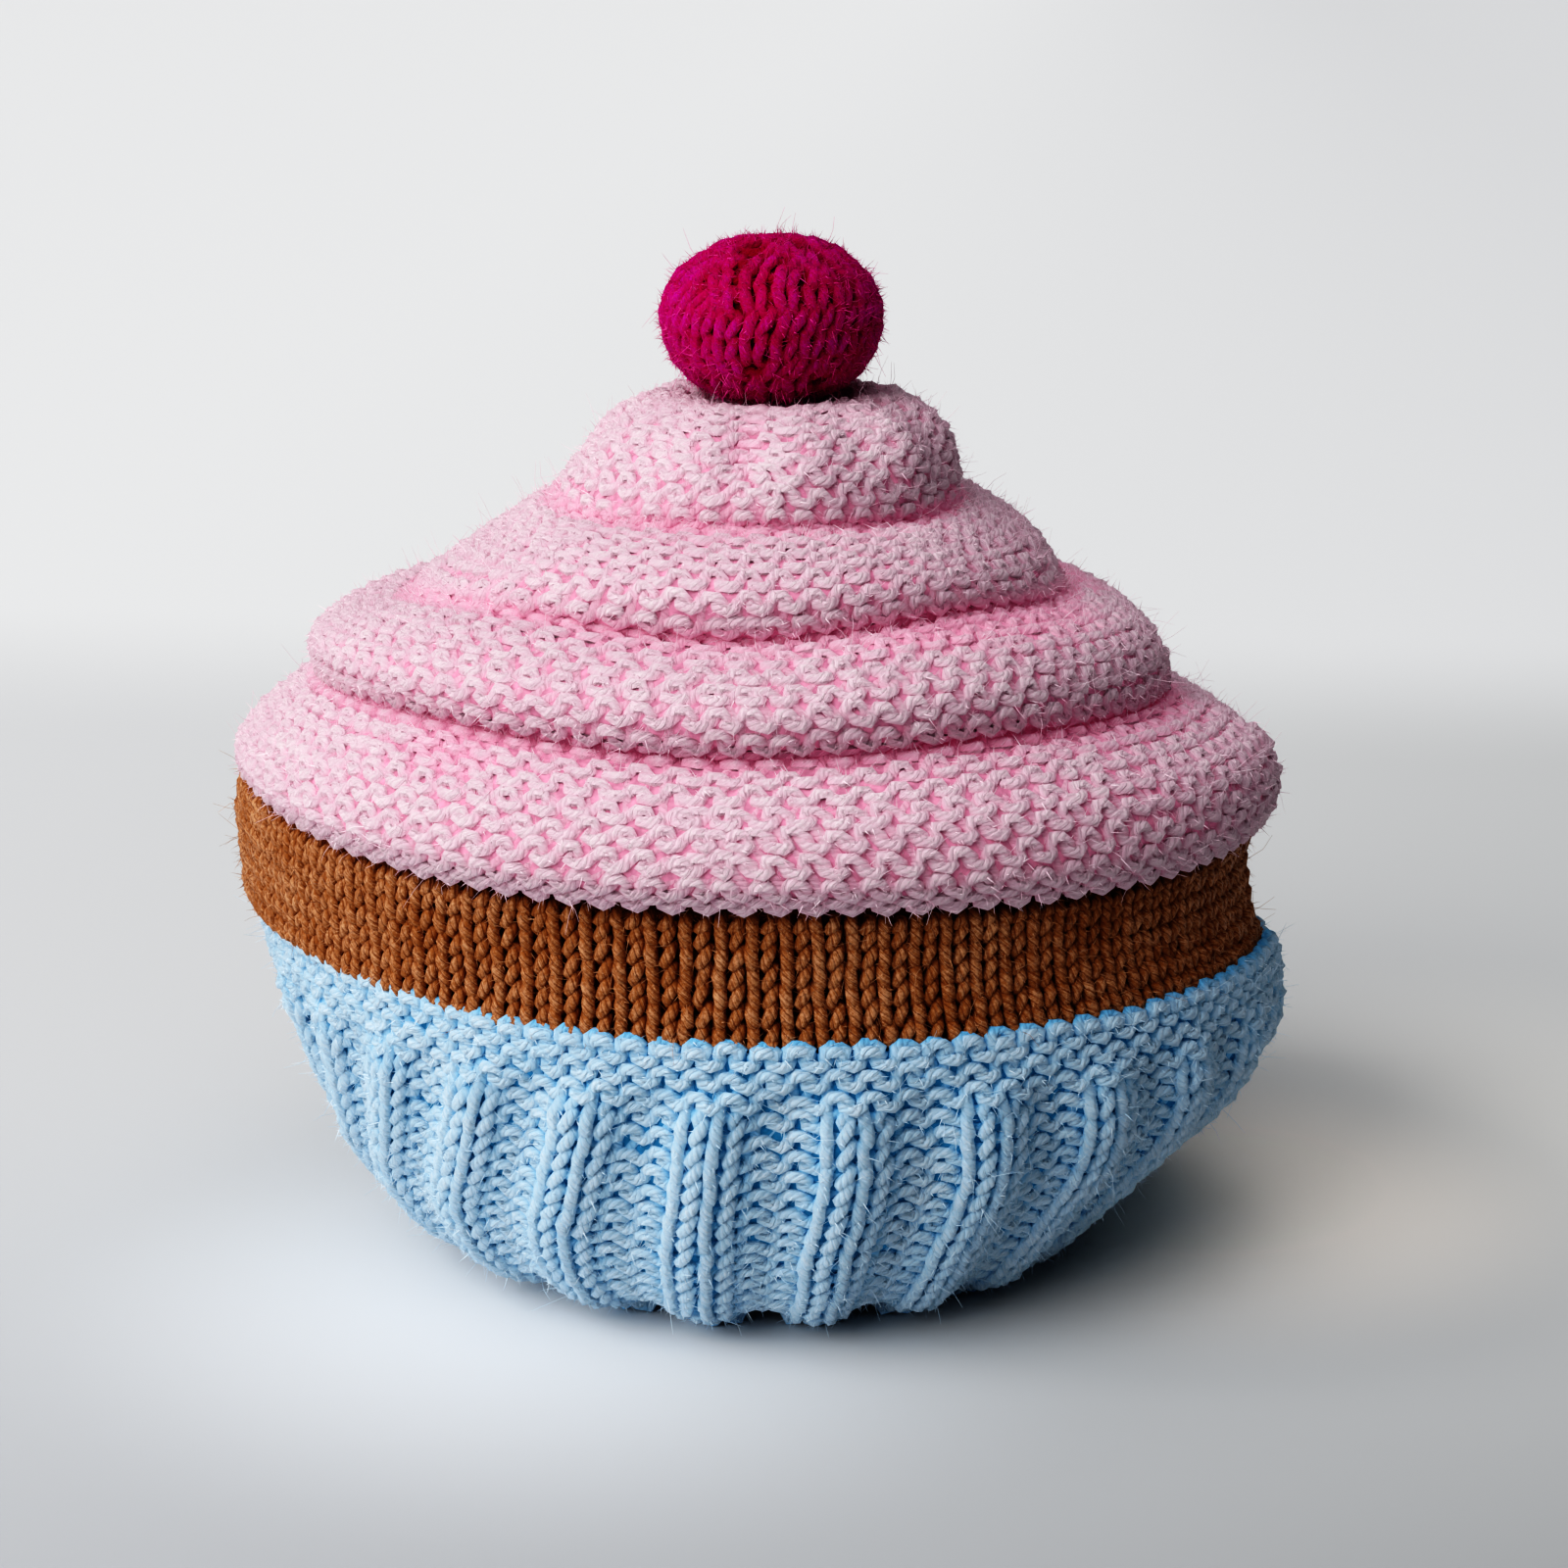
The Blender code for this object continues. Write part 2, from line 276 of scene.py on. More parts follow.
def caseRelief(height, depth, stitch):
    wave = ribWave(stitch) * selvedgeFade(stitch)
    notch = np.clip(1.0 - height / wall["hemNotchReach"], 0.0, 1.0)
    rise = wall["hemNotch"] * notch * np.clip(-wall["notchSteepness"] * wave, 0.0, 1.0)
    puff, puffHeight, puffReach = wall["hemPuff"]
    relief = wall["ribRelief"] * wave * (1.0 - smoothStep(height, *wall["ribFade"]))
    relief = relief + puff * np.clip(wave, 0.0, 1.0) * np.exp(-((height - puffHeight) / puffReach) ** 2)
    return relief, rise


def cakeRelief(height, depth, stitch):
    return np.zeros_like(height), np.zeros_like(height)


def icingRelief(height, depth, stitch):
    strength = smoothStep(height, *wall["pleatRise"]) * smoothStep(depth, *wall["pleatRadii"])
    turn = 2.0 * np.pi * wall["pleats"] * stitch / wall["stitches"]
    pleats = wall["pleatDepth"] * np.cos(turn) * strength * selvedgeFade(stitch)
    return pleats - creaseDepth(height, stitch), np.zeros_like(height)


def wallPoint(band, face, distance, stitch):
    distance, stitch = np.broadcast_arrays(np.asarray(distance, float), np.asarray(stitch, float))
    ring = ringAt(band["profile"], distance)
    height, left, right, depth, liftLeft, liftRight, arch = np.moveaxis(ring, -1, 0)
    across = 2.0 * stitch / wall["stitches"] - 1.0
    fade = np.clip(1.0 - np.maximum(height, wall["hemStraight"]) / wall["spreadHeight"], 0.0, 1.0)
    spread = wall["topSpread"] + (wall["hemSpread"] - wall["topSpread"]) * fade
    twist = (wall["topTwist"] + (wall["hemTwist"] - wall["topTwist"]) * fade) * np.cos(0.5 * np.pi * across)
    share = across + spread * np.sin(np.pi * across) - twist
    onLeft = across < 0.0
    opening = np.where(onLeft, slitOpening(spoutSlit, height), slitOpening(handleSlit, height))
    halfGap = np.where(onLeft, spoutSlit.halfGap, handleSlit.halfGap) * opening + wall["seamHalfGap"]
    angle = share * np.arccos(np.clip(halfGap / depth, -1.0, 1.0))
    halfWidth = np.where(angle < 0.0, left, right)
    lift = np.where(angle < 0.0, liftLeft, liftRight)
    if face > 0:
        lift = lift - np.where(onLeft, spoutSlit.backSag, handleSlit.backSag) * opening
    relief, rise = band["relief"](height, depth, stitch)
    outward = np.stack((np.sin(angle) / halfWidth, face * np.cos(angle) / depth), -1)
    outward /= np.linalg.norm(outward, axis=-1, keepdims=True)
    z = height + lift * np.sin(angle) ** 2 + rise
    if face < 0:
        z = z + arch * np.sin(2.0 * angle) ** 2
    x = wall["axisX"] + halfWidth * np.sin(angle) + outward[..., 0] * relief
    y = face * depth * np.cos(angle) + outward[..., 1] * relief
    return np.stack((x, y, z), -1)


def wallFrame(surface, distance, stitch):
    # a point of a surface, its outward normal, and how wide a stitch's worth of it is there
    upStep, acrossStep = frameSteps
    up = surface(distance + upStep, stitch) - surface(distance - upStep, stitch)
    across = surface(distance, stitch + acrossStep) - surface(distance, stitch - acrossStep)
    normal = np.cross(across, up)
    normal /= np.linalg.norm(normal, axis=-1, keepdims=True)
    return surface(distance, stitch), normal, np.linalg.norm(across, axis=-1) / (2.0 * acrossStep)


frameSteps = (0.25, 0.1)    # mm up a surface and stitches across it, over which its slopes are taken


# troughs pressed into the icing: where they are deepest, how far they reach, and how deep
Crease = namedtuple("Crease", "stitch height halfStitches halfHeight depth")

icingCreases = (
    Crease(31.0, 93.4, 24.0, 1.5, 1.1),       # along the first tuck
    Crease(43.0, 93.0, 9.0, 2.0, 1.0),
    Crease(15.5, 90.4, 1.8, 2.2, 1.0),        # pit under its left end
    Crease(31.0, 107.2, 14.0, 1.5, 1.2),      # along the second
    Crease(40.0, 106.6, 7.0, 2.0, 1.3),
    Crease(30.0, 120.8, 16.0, 1.4, 0.7),      # along the third
    Crease(24.6, 131.0, 1.3, 4.0, 1.0),       # fold down from the cherry
)


def creaseDepth(height, stitch):
    total = np.zeros_like(height)
    for crease in icingCreases:
        across = (stitch - crease.stitch) / crease.halfStitches
        down = (height - crease.height) / crease.halfHeight
        total = total + crease.depth * np.exp(-across ** 4 - down ** 2)
    return total


caseBand = {"profile": profileOf(caseRings), "relief": caseRelief}
cakeBand = {"profile": profileOf(cakeRings), "relief": cakeRelief}
icingBand = {"profile": profileOf(icingRings), "relief": icingRelief}


def halfSurface(band, face):
    # the back half is counted from its own left, so that its normals point out as the front's do
    if face < 0:
        return lambda distance, stitch: wallPoint(band, -1, distance, stitch)
    return lambda distance, stitch: wallPoint(band, 1, distance, wall["stitches"] - stitch)


cherry = {
    "radius": 17.1,
    "height": 26.4,
    "middle": 147.4,
    "underside": 0.86,          # below 1, the underside is fuller than a ball's
    "top": 1.06,                # above 1, the top is leaner
    "dimple": 0.5,
    "dimpleRadius": 4.1,
    "inset": 1.1,               # of the yarn's middle within the cherry's outline
    "stitchWidth": 4.3,
    "rowHeight": 3.5,
    "ends": (3.0, 1.1),         # left clear of yarn at the bottom and the top
    "foldHeights": (-2.0, 11.088),  # above its middle, between which the folds deepen
    "foldRadii": (0.5, 5.0),    # from its axis, between which they do
    "foldLeast": 3.0,           # radius below which a fold gets no narrower
    "foldWidth": 2.3,
    "foldDrop": 0.35,           # how far a fold also sinks, as a share of its depth
    "fullFold": 1.2,            # depth at which a fold's shade is full
    "clearance": 0.25,          # between the ball and the yarn's middle
    "leastStitches": 5,
    "rings": 30,
    "sides": 64,
    "softness": 0.60,
    "hairs": 190,
    "nap": 5400,
    "seeds": (7, 9, 10),        # of its yarn, its hairs and its nap
}

# folds that run down from the cherry's gathered top: degrees round from the spout's side, and how deep
cherryFolds = (
    (84.0, 0.8), (118.0, 0.35), (150.0, 0.5), (52.0, 0.35), (20.0, 0.5),
    (-20.0, 0.4), (-62.0, 0.5), (-100.0, 0.4), (-146.0, 0.5),
)


def cherryProfile():
    angle = np.linspace(0.002, math.pi - 0.002, 400)
    upper = angle > 0.5 * math.pi
    radius = cherry["radius"] * np.sin(angle) ** np.where(upper, cherry["top"], cherry["underside"])
    height = -0.5 * cherry["height"] * np.cos(angle)
    height = height - np.where(upper, cherry["dimple"] * np.exp(-(radius / cherry["dimpleRadius"]) ** 2), 0.0)
    steps = np.hypot(np.diff(radius), np.diff(height))
    return np.concatenate(([0.0], np.cumsum(steps))), radius, height


cherryDistance, cherryRadius, cherryHeight = cherryProfile()
cherryAround = round(2.0 * math.pi * (cherry["radius"] - cherry["inset"]) / cherry["stitchWidth"])


def cherrySunk(radius, height, turn):
    top = smoothStep(height, *cherry["foldHeights"]) * smoothStep(radius, *cherry["foldRadii"])
    sunk = np.zeros_like(radius)
    for place, depth in cherryFolds:
        gap = np.angle(np.exp(1j * (turn - math.radians(place)))) * np.maximum(radius, cherry["foldLeast"])
        sunk = sunk + depth * np.exp(-(gap / cherry["foldWidth"]) ** 2)
    return sunk * top


def cherryOutline(distance):
    # the ball's radius and height at a distance along its outline
    return tuple(np.interp(distance, cherryDistance, along) for along in (cherryRadius, cherryHeight))


def cherrySurface(distance, stitch):
    distance, stitch = np.broadcast_arrays(np.asarray(distance, float), np.asarray(stitch, float))
    radius, height = cherryOutline(distance)
    turn = 2.0 * np.pi * stitch / cherryAround
    sunk = cherrySunk(radius, height, turn)
    x = wall["axisX"] - (radius - sunk) * np.cos(turn)
    y = -(radius - sunk) * np.sin(turn)
    return np.stack((x, y, cherry["middle"] + height - cherry["foldDrop"] * sunk), -1)


def noFold(distance, stitch):
    return np.zeros(np.broadcast(distance, stitch).shape)


tuck = {
    "reach": 2.6,               # mm that a tuck's shade spreads
    "bend": 0.16,               # radians a mm, at which the shade is full
    "step": 0.5,                # mm between the places looked at
    "spread": 6,                # steps each way over which they are blended
    "fullCrease": 1.4,          # depth at which a pressed trough's shade is full
}


def tuckShare(band):
    # where a band's outline bends inwards, as it does under each roll: distance along it, and how sharply
    distance = np.arange(0.0, band["profile"]["distance"][-1], tuck["step"])
    ring = ringAt(band["profile"], distance)
    angle = np.unwrap(np.arctan2(np.gradient(ring[:, 0]), -np.gradient(ring[:, 3])))
    bend = np.gradient(angle, distance)
    soft = np.exp(-(np.arange(-tuck["spread"], tuck["spread"] + 1) * tuck["step"] / tuck["reach"]) ** 2)
    return distance, np.clip(np.convolve(bend, soft / soft.sum(), "same") / tuck["bend"], 0.0, 1.0)


def icingFold(face):
    place, share = tuckShare(icingBand)

    def fold(distance, stitch):
        height = ringAt(icingBand["profile"], np.asarray(distance, float))[..., 0]
        own = stitch if face < 0 else wall["stitches"] - stitch
        pressed = creaseDepth(height, own) / tuck["fullCrease"]
        return np.clip(np.maximum(pressed, np.interp(distance, place, share)), 0.0, 1.0)
    return fold


def cherryFold(distance, stitch):
    sunk = cherrySunk(*cherryOutline(distance), 2.0 * np.pi * stitch / cherryAround)
    return np.clip(sunk / cherry["fullFold"], 0.0, 1.0)


loop = {
    "points": 11,               # along the yarn of one stitch
    "leanLeft": 0.12,           # how far a loop's shoulders reach past its legs, in stitches: the left leg
    "leanRight": 0.25,          # stands nearly straight, as the yarn's twist pulls it
    "tall": 1.66,               # a loop's height, in rows, so that its head stands over the next row's feet
    "lastTall": 0.90,           # the same in the last row, which has none above it
    "edgeStart": 0.22,          # the row of short loops along the lower edge: where it lies, in rows, and
    "edgeTall": 0.46,           # how tall they are
    "leftFuller": 0.10,         # how much fuller the left leg is, and how much leaner the right
    "rightTaper": 0.16,         # how much the right leg narrows towards its ends
    "leastRadius": 0.40,
    "turnReach": 0.22,          # how far the yarn bows past the edge where it turns into the next row
    "jitter": 0.045,            # unevenness of the stitches' places, in stitches
    "tallJitter": 0.06,
    "depthJitter": 0.14,
    "rowJitter": 0.035,         # unevenness of the rows' places, in rows
    "footWidth": 0.14,          # of a stitch at each side, over which a knit one changes to a purl one
    "turnPlaces": (0.25, 0.5, 0.75),    # of the yarn's points between two rows, as shares of the way
    "turnLift": 0.2,
}


# the yarn's radius, the most that may be of a stitch's width, and how far a loop's legs, head and feet lie
# from the middle of the cloth
caseGauge = {"radius": 0.98, "radiusShare": 0.246, "depth": 0.66}
cakeGauge = {"radius": 0.98, "radiusShare": 0.235, "depth": 0.90}
icingGauge = {"radius": 0.95, "radiusShare": 0.224, "depth": 0.62}
cherryGauge = {"radius": 0.96, "radiusShare": 0.270, "depth": 0.36}


def threadOf(place, normal, radius, lift, fold):
    # a thread's points; each of the last three may be one number for all of them
    count = len(place)
    return {
        "place": place,
        "normal": np.broadcast_to(normal, place.shape),
        "radius": np.broadcast_to(radius, count),
        "lift": np.broadcast_to(lift, count),
        "fold": np.broadcast_to(fold, count),
    }


def turnedBack(parts, back, stitches, start, way):
    # a row's places across, distances, lifts and fullnesses in the order of the yarn, which runs back in
    # every second row, with its turn into the next row, if there is one a way above
    if back:
        parts = [part[::-1] for part in parts]
    if way is None:
        return parts
    turn = np.array(loop["turnPlaces"])
    bow = loop["turnReach"] * np.sin(np.pi * turn)
    even = np.ones(len(turn))
    past = (-bow if back else stitches + bow, start + turn * way, loop["turnLift"] * even, even)
    return [np.append(*pair) for pair in zip(parts, past)]


def courseYarn(surface, width, courses, gauge, seed, fold, topFaces=(1.0,), ring=False):
    # One yarn through all the courses, to and fro, or round and round as a spiral where it is a ring. Each
    # course is (distance, height of its row, number of stitches, the faces of its stitches, 1 knit and -1
    # purl). width is how many of its own stitches the surface counts across, and fold tells how deep in a
    # crease a place is, from 0 to 1. topFaces are the faces of the row that would follow the last.
    chance = np.random.default_rng(seed)
    count = loop["points"]
    phase = np.arange(count) / count * 2.0 * np.pi
    threads = []
    offset = 0.0
    for row, (start, rowHeight, stitches, faces) in enumerate(courses):
        last = row + 1 == len(courses)
        nextStitches = courses[row if last else row + 1][2]
        nextFaces = topFaces if last else courses[row + 1][3]
        index = np.arange(stitches)
        nearest = (np.floor((index + 0.5) / stitches * nextStitches) + 0.5) / nextStitches * stitches
        shear = np.repeat(nearest - (index + 0.5), count)
        sideways = np.repeat(chance.normal(0.0, loop["jitter"], stitches), count)
        taller = np.repeat(1.0 + chance.normal(0.0, loop["tallJitter"], stitches), count)
        deeper = np.repeat(1.0 + chance.normal(0.0, loop["depthJitter"], stitches), count)
        offset = 0.5 * offset + chance.normal(0.0, loop["rowJitter"]) if row else 0.0
        t = np.tile(phase, stitches)
        stitch = np.repeat(index, count)
        even = stitch + t / (2.0 * np.pi)
        tall = loop["edgeTall"] if row == 0 and not ring else loop["lastTall"] if last else loop["tall"]
        rise = 0.5 * tall * (1.0 - np.cos(t)) * taller
        lean = np.where(t < np.pi, loop["leanLeft"], loop["leanRight"])
        x = even + lean * np.sin(2.0 * t) + shear * rise + sideways * np.sin(0.5 * t)
        knots = np.stack((index + loop["footWidth"], index + 1.0 - loop["footWidth"]), -1).ravel()
        above = np.array(nextFaces, float)[np.floor((index + 0.5) / stitches * len(nextFaces)).astype(int)]
        upward = 0.5 - 0.5 * np.cos(t)
        facing = np.interp(even, knots, np.repeat(faces, 2)) * (1.0 - upward)
        facing = facing + np.interp(even, knots, np.repeat(above, 2)) * upward
        lift = -np.cos(2.0 * t) * facing * deeper
        taper = np.where(t > np.pi, loop["rightTaper"] * np.cos(2.0 * t) * np.sin(0.5 * t) ** 2, 0.0)
        fuller = 1.0 + loop["leftFuller"] * np.sin(t) - taper
        distance = start + (rise + offset) * rowHeight
        if ring:
            # the last loops of the spiral are drawn together
            distance = np.minimum(distance + rowHeight * even / stitches, courses[-1][0] + courses[-1][1])
        parts = [x, distance, lift, fuller]
        if not ring:
            ends = (stitches, distance[0], -facing[-1], 1.0)
            way = None if last else courses[row + 1][0] - start
            parts = turnedBack([np.append(*pair) for pair in zip(parts, ends)], row % 2, stitches, start, way)
        x, distance, lift, fuller = parts
        place, normal, stitchWidth = wallFrame(surface, distance, x / stitches * width)
        stitchWidth = stitchWidth * width / stitches
        radius = np.clip(gauge["radiusShare"] * stitchWidth, loop["leastRadius"], gauge["radius"])
        place = place + normal * (lift * gauge["depth"] * radius / gauge["radius"])[:, None]
        threads.append(threadOf(place, normal, radius * fuller, lift, fold(distance, x / stitches * width)))
    return {key: np.concatenate([thread[key] for thread in threads]) for key in threads[0]}


def guideObject(thread):
    # the thread as a chain of edges, with what the yarn's tree reads from it
    count = len(thread["place"])
    mesh = bpy.data.meshes.new("guide")
    mesh.from_pydata((thread["place"] * mm).tolist(), [(i, i + 1) for i in range(count - 1)], [])
    for key in ("radius", "lift", "fold"):
        layer = mesh.attributes.new("yarn" + key.capitalize(), "FLOAT", "POINT")
        layer.data.foreach_set("value", thread[key].astype(np.float32))
    layer = mesh.attributes.new("clothNormal", "FLOAT_VECTOR", "POINT")
    layer.data.foreach_set("vector", thread["normal"].astype(np.float32).ravel())
    return placed("guide", mesh)


def startTree(name, floats, integers):
    # a tree with these named inputs, its geometry and its finish, and a start for its nodes
    tree = bpy.data.node_groups.new(name, "GeometryNodeTree")
    for kind, labels in (
        ("Geometry", ("Geometry",)), ("Float", floats), ("Int", integers), ("Material", ("Finish",)),
    ):
        for label in labels:
            tree.interface.new_socket(label, in_out="INPUT", socket_type="NodeSocket" + kind)
    tree.interface.new_socket("Geometry", in_out="OUTPUT", socket_type="NodeSocketGeometry")
    return tree, Sum(tree, None).node("NodeGroupInput")


def endTree(geometry, finish):
    realized = geometry.node("GeometryNodeRealizeInstances", {"Geometry": geometry})
    painted = geometry.node("GeometryNodeSetMaterial", {"Geometry": realized, "Material": finish})
    geometry.node("NodeGroupOutput", {"Geometry": painted})


def attribute(start, name, kind="FLOAT"):
    return start.node("GeometryNodeInputNamedAttribute", {"Name": name}, data_type=kind)


def stored(geometry, name, kind, value):
    # the geometry with the value kept on its points
    sockets = {"Geometry": geometry, "Name": name, "Value": value}
    return geometry.node("GeometryNodeStoreNamedAttribute", sockets, data_type=kind, domain="POINT")


def captured(geometry, name, kind, value):
    # the geometry, and the value as it is at this place of the tree
    made = geometry.tree.nodes.new("GeometryNodeCaptureAttribute")
    made.capture_items.new(kind, name)
    for place, given in enumerate((geometry, value)):
        geometry.tree.links.new(given.socket, made.inputs[place])
    return Sum(geometry.tree, made.outputs[0]), Sum(geometry.tree, made.outputs[1])


def tubeAlong(curve, rim, scale):
    sockets = {"Curve": curve, "Profile Curve": rim, "Scale": scale, "Fill Caps": True}
    tube = curve.node("GeometryNodeCurveToMesh", sockets)
    return curve.node("GeometryNodeSetShadeSmooth", {"Geometry": tube})


def wandering(noise, amount):
    # a push to any side, from a noise's colour
    return noise["Color"].vector("SUBTRACT", (0.5, 0.5, 0.5)).vector("SCALE", amount)


slubFineness = 420.0        # of the noise that makes the yarn thicker and thinner


def yarnTree():
    # a round yarn along the guide's edges: it wanders a little and is here and there thicker or thinner
    floats = ("Thickness", "Wander", "Wander Size", "Slub", "Seed")
    tree, given = startTree("knitting yarn", floats, ("Sides",))

    def noise(fineness):
        sockets = {"Vector": position, "W": given["Seed"], "Scale": fineness, "Detail": 1.0}
        return given.node("ShaderNodeTexNoise", sockets, noise_dimensions="4D")

    position = given.node("GeometryNodeInputPosition")
    shift = wandering(noise(given.maths("DIVIDE", 1.0, given["Wander Size"])), given["Wander"])
    moved = given.node("GeometryNodeSetPosition", {"Geometry": given["Geometry"], "Offset": shift})
    curve = given.node("GeometryNodeMeshToCurve", {"Mesh": moved})
    curve, along = captured(curve, "along", "FLOAT", given.node("GeometryNodeSplineParameter")["Length"])
    circle = given.node("GeometryNodeCurvePrimitiveCircle", {"Resolution": given["Sides"], "Radius": 1.0})
    circle, around = captured(circle, "around", "VECTOR", given.node("GeometryNodeInputPosition"))
    slub = (noise(slubFineness) - 0.5) * given["Slub"]
    scale = attribute(given, "yarnRadius") * given["Thickness"] * (slub + 1.0)
    tube = tubeAlong(curve, circle, scale)
    tube = stored(tube, "along", "FLOAT", along)
    tube = stored(tube, "around", "FLOAT_VECTOR", around)
    # how squarely each part of the yarn's surface faces out of the cloth
    facing = given.node("GeometryNodeInputNormal").vector(
        "DOT_PRODUCT", attribute(given, "clothNormal", "FLOAT_VECTOR"), "Value")
    endTree(stored(tube, "outward", "FLOAT", facing), given["Finish"])
    return tree


# where fibres stand: how much a place's lift counts beside how squarely it faces out, and the least of both
fibrePlaces = {"lift": 0.5, "least": 0.3}
fibreFloats = ("Density", "Shortest", "Longest", "Thickness", "Splay")


def scatter(given):
    # points on the yarn where it faces out of the cloth, a way for each to point and a length
    forward = attribute(given, "outward") + attribute(given, "yarnLift") * fibrePlaces["lift"]
    scattered = given.node("GeometryNodeDistributePointsOnFaces", {
        "Mesh": given["Geometry"], "Seed": given["Seed"], "Density": given["Density"],
        "Selection": forward.maths("GREATER_THAN", forward, fibrePlaces["least"]),
    }, distribute_method="RANDOM")
    anyWay = {0: (-1.0, -1.0, -1.0), 1: (1.0, 1.0, 1.0), 8: given["Seed"]}
    splayed = given.node("FunctionNodeRandomValue", anyWay, data_type="FLOAT_VECTOR")
    pointing = splayed.vector("SCALE", given["Splay"]).vector("ADD", scattered["Normal"])
    turned = given.node("FunctionNodeAlignRotationToVector", {"Vector": pointing}, axis="Z")
    # the cube of a random share leaves most fibres short and a few long
    share = given.node("FunctionNodeRandomValue", {2: 0.0, 3: 1.0, 8: given["Seed"]}, 1, data_type="FLOAT")
    cubed = share.maths("POWER", share, 3.0)
    size = cubed * (given["Longest"] - given["Shortest"]) + given["Shortest"]
    return scattered["Points"], turned, size


def fuzzTree():
    # loose fibres that stand out of the yarn, each a thin curling hair
    tree, given = startTree("loose fibres", fibreFloats + ("Curl", "Curl Size"), ("Points", "Seed"))
    points, turned, size = scatter(given)
    line = given.node("GeometryNodeCurvePrimitiveLine", {"Start": (0.0, 0.0, 0.0), "End": (0.0, 0.0, 1.0)})
    straight = given.node("GeometryNodeResampleCurve", {"Curve": line, "Count": given["Points"]})
    hairs = given.node("GeometryNodeInstanceOnPoints", {
        "Points": points, "Instance": straight, "Rotation": turned, "Scale": size,
    })
    loose = given.node("GeometryNodeRealizeInstances", {"Geometry": hairs})
    factor = given.node("GeometryNodeSplineParameter")["Factor"]
    noise = given.node("ShaderNodeTexNoise", {
        "Vector": given.node("GeometryNodeInputPosition"), "Detail": 0.0,
        "Scale": given.maths("DIVIDE", 1.0, given["Curl Size"]),
    }, noise_dimensions="3D")
    bend = wandering(noise, factor * given["Curl"])
    curled = given.node("GeometryNodeSetPosition", {"Geometry": loose, "Offset": bend})
    circle = given.node("GeometryNodeCurvePrimitiveCircle", {"Resolution": 3, "Radius": 1.0})
    thickness = (1.0 - factor * tipTaper) * given["Thickness"]
    endTree(tubeAlong(curled, circle, thickness), given["Finish"])
    return tree


tipTaper = 0.6      # share by which a hair is thinner at its tip


def bloomTree():
    # short straight fibres, each a closed spike of three sides, that blur the yarn's surface
    tree, given = startTree("short fibres", fibreFloats, ("Seed",))
    points, turned, size = scatter(given)
    spike = given.node("GeometryNodeMeshCone", {
        "Vertices": 3, "Side Segments": 1, "Fill Segments": 1,
        "Radius Top": 0.0, "Radius Bottom": 1.0, "Depth": 1.0,
    }, fill_type="NGON")
    stretch = given.node("ShaderNodeCombineXYZ", {0: given["Thickness"], 1: given["Thickness"], 2: size})
    spikes = given.node("GeometryNodeInstanceOnPoints", {
        "Points": points, "Instance": spike, "Rotation": turned, "Scale": stretch,
    })
    endTree(spikes, given["Finish"])
    return tree


def grow(source, tree, name, values):
    # a plain mesh object from what the tree makes of the source
    modifier = source.modifiers.new("nodes", "NODES")
    modifier.node_group = tree
    for item in tree.interface.items_tree:
        if item.item_type == "SOCKET" and item.in_out == "INPUT" and item.name in values:
            modifier[item.identifier] = values[item.name]
    mesh = bpy.data.meshes.new_from_object(source.evaluated_get(bpy.context.evaluated_depsgraph_get()))
    source.modifiers.remove(modifier)
    mesh.name = name
    return placed(name, mesh)


yarnLook = {
    "plyPitch": 4.4,            # length of one turn of the twist, of two strands seen twice
    "fibreLength": 2.4,
    "fibreTurns": 6.0,          # how fine the fibres' noise is across the yarn
    "patchFineness": 110.0,
    "speckFineness": 2600.0,
    "fibreHeight": 0.20,
    "speckHeight": 0.08,
    "forward": {"outward": 0.55, "lift": 0.40, "fold": 0.6},    # what makes a place stand forward
    "faceFrom": (-0.35, 0.75),  # how far forward a place is, between which the painted shade turns into face
    # the painted highlight: how much standing forward counts, and patches, fibres and specks at random, less
    # a share
    "bright": {"forward": 0.9, "patch": 0.7, "fibre": 1.6, "speck": 1.2, "less": 0.35},
    "groove": 0.6,              # how far from a line between strands the painted shade darkens the yarn
    "hollowFrom": 0.75,         # a painted glow lies on what is further back than this
    "hollowShare": 0.8,
    "hollowFacing": (-0.1, 0.3),    # and only on the cloth's outer side
    "hollowRange": (0.1, 1.0),
    # strength of the painted glow
    "through": 0.09,
    "sheenRoughness": 0.5,
    "specular": 0.3,
}


def noiseOf(start, fineness, detail, place=None):
    place = place or start.node("ShaderNodeTexCoord", output=3)
    return start.node("ShaderNodeTexNoise", {"Vector": place, "Scale": fineness, "Detail": detail})


def joinBump(shader, height):
    bump = height.node("ShaderNodeBump", {"Strength": 1.0, "Distance": mm, "Height": height})
    joinSocket(shader, "Normal", bump)


def joinGlow(shader, colour, strength):
    joinSocket(shader, "Emission Color", colour)
    shader.inputs["Emission Strength"].default_value = strength


def meshValue(start, name, output=2):
    return start.node("ShaderNodeAttribute", output=output, attribute_name=name)


black = (0.0, 0.0, 0.0, 1)
white = (1.0, 1.0, 1.0, 1)


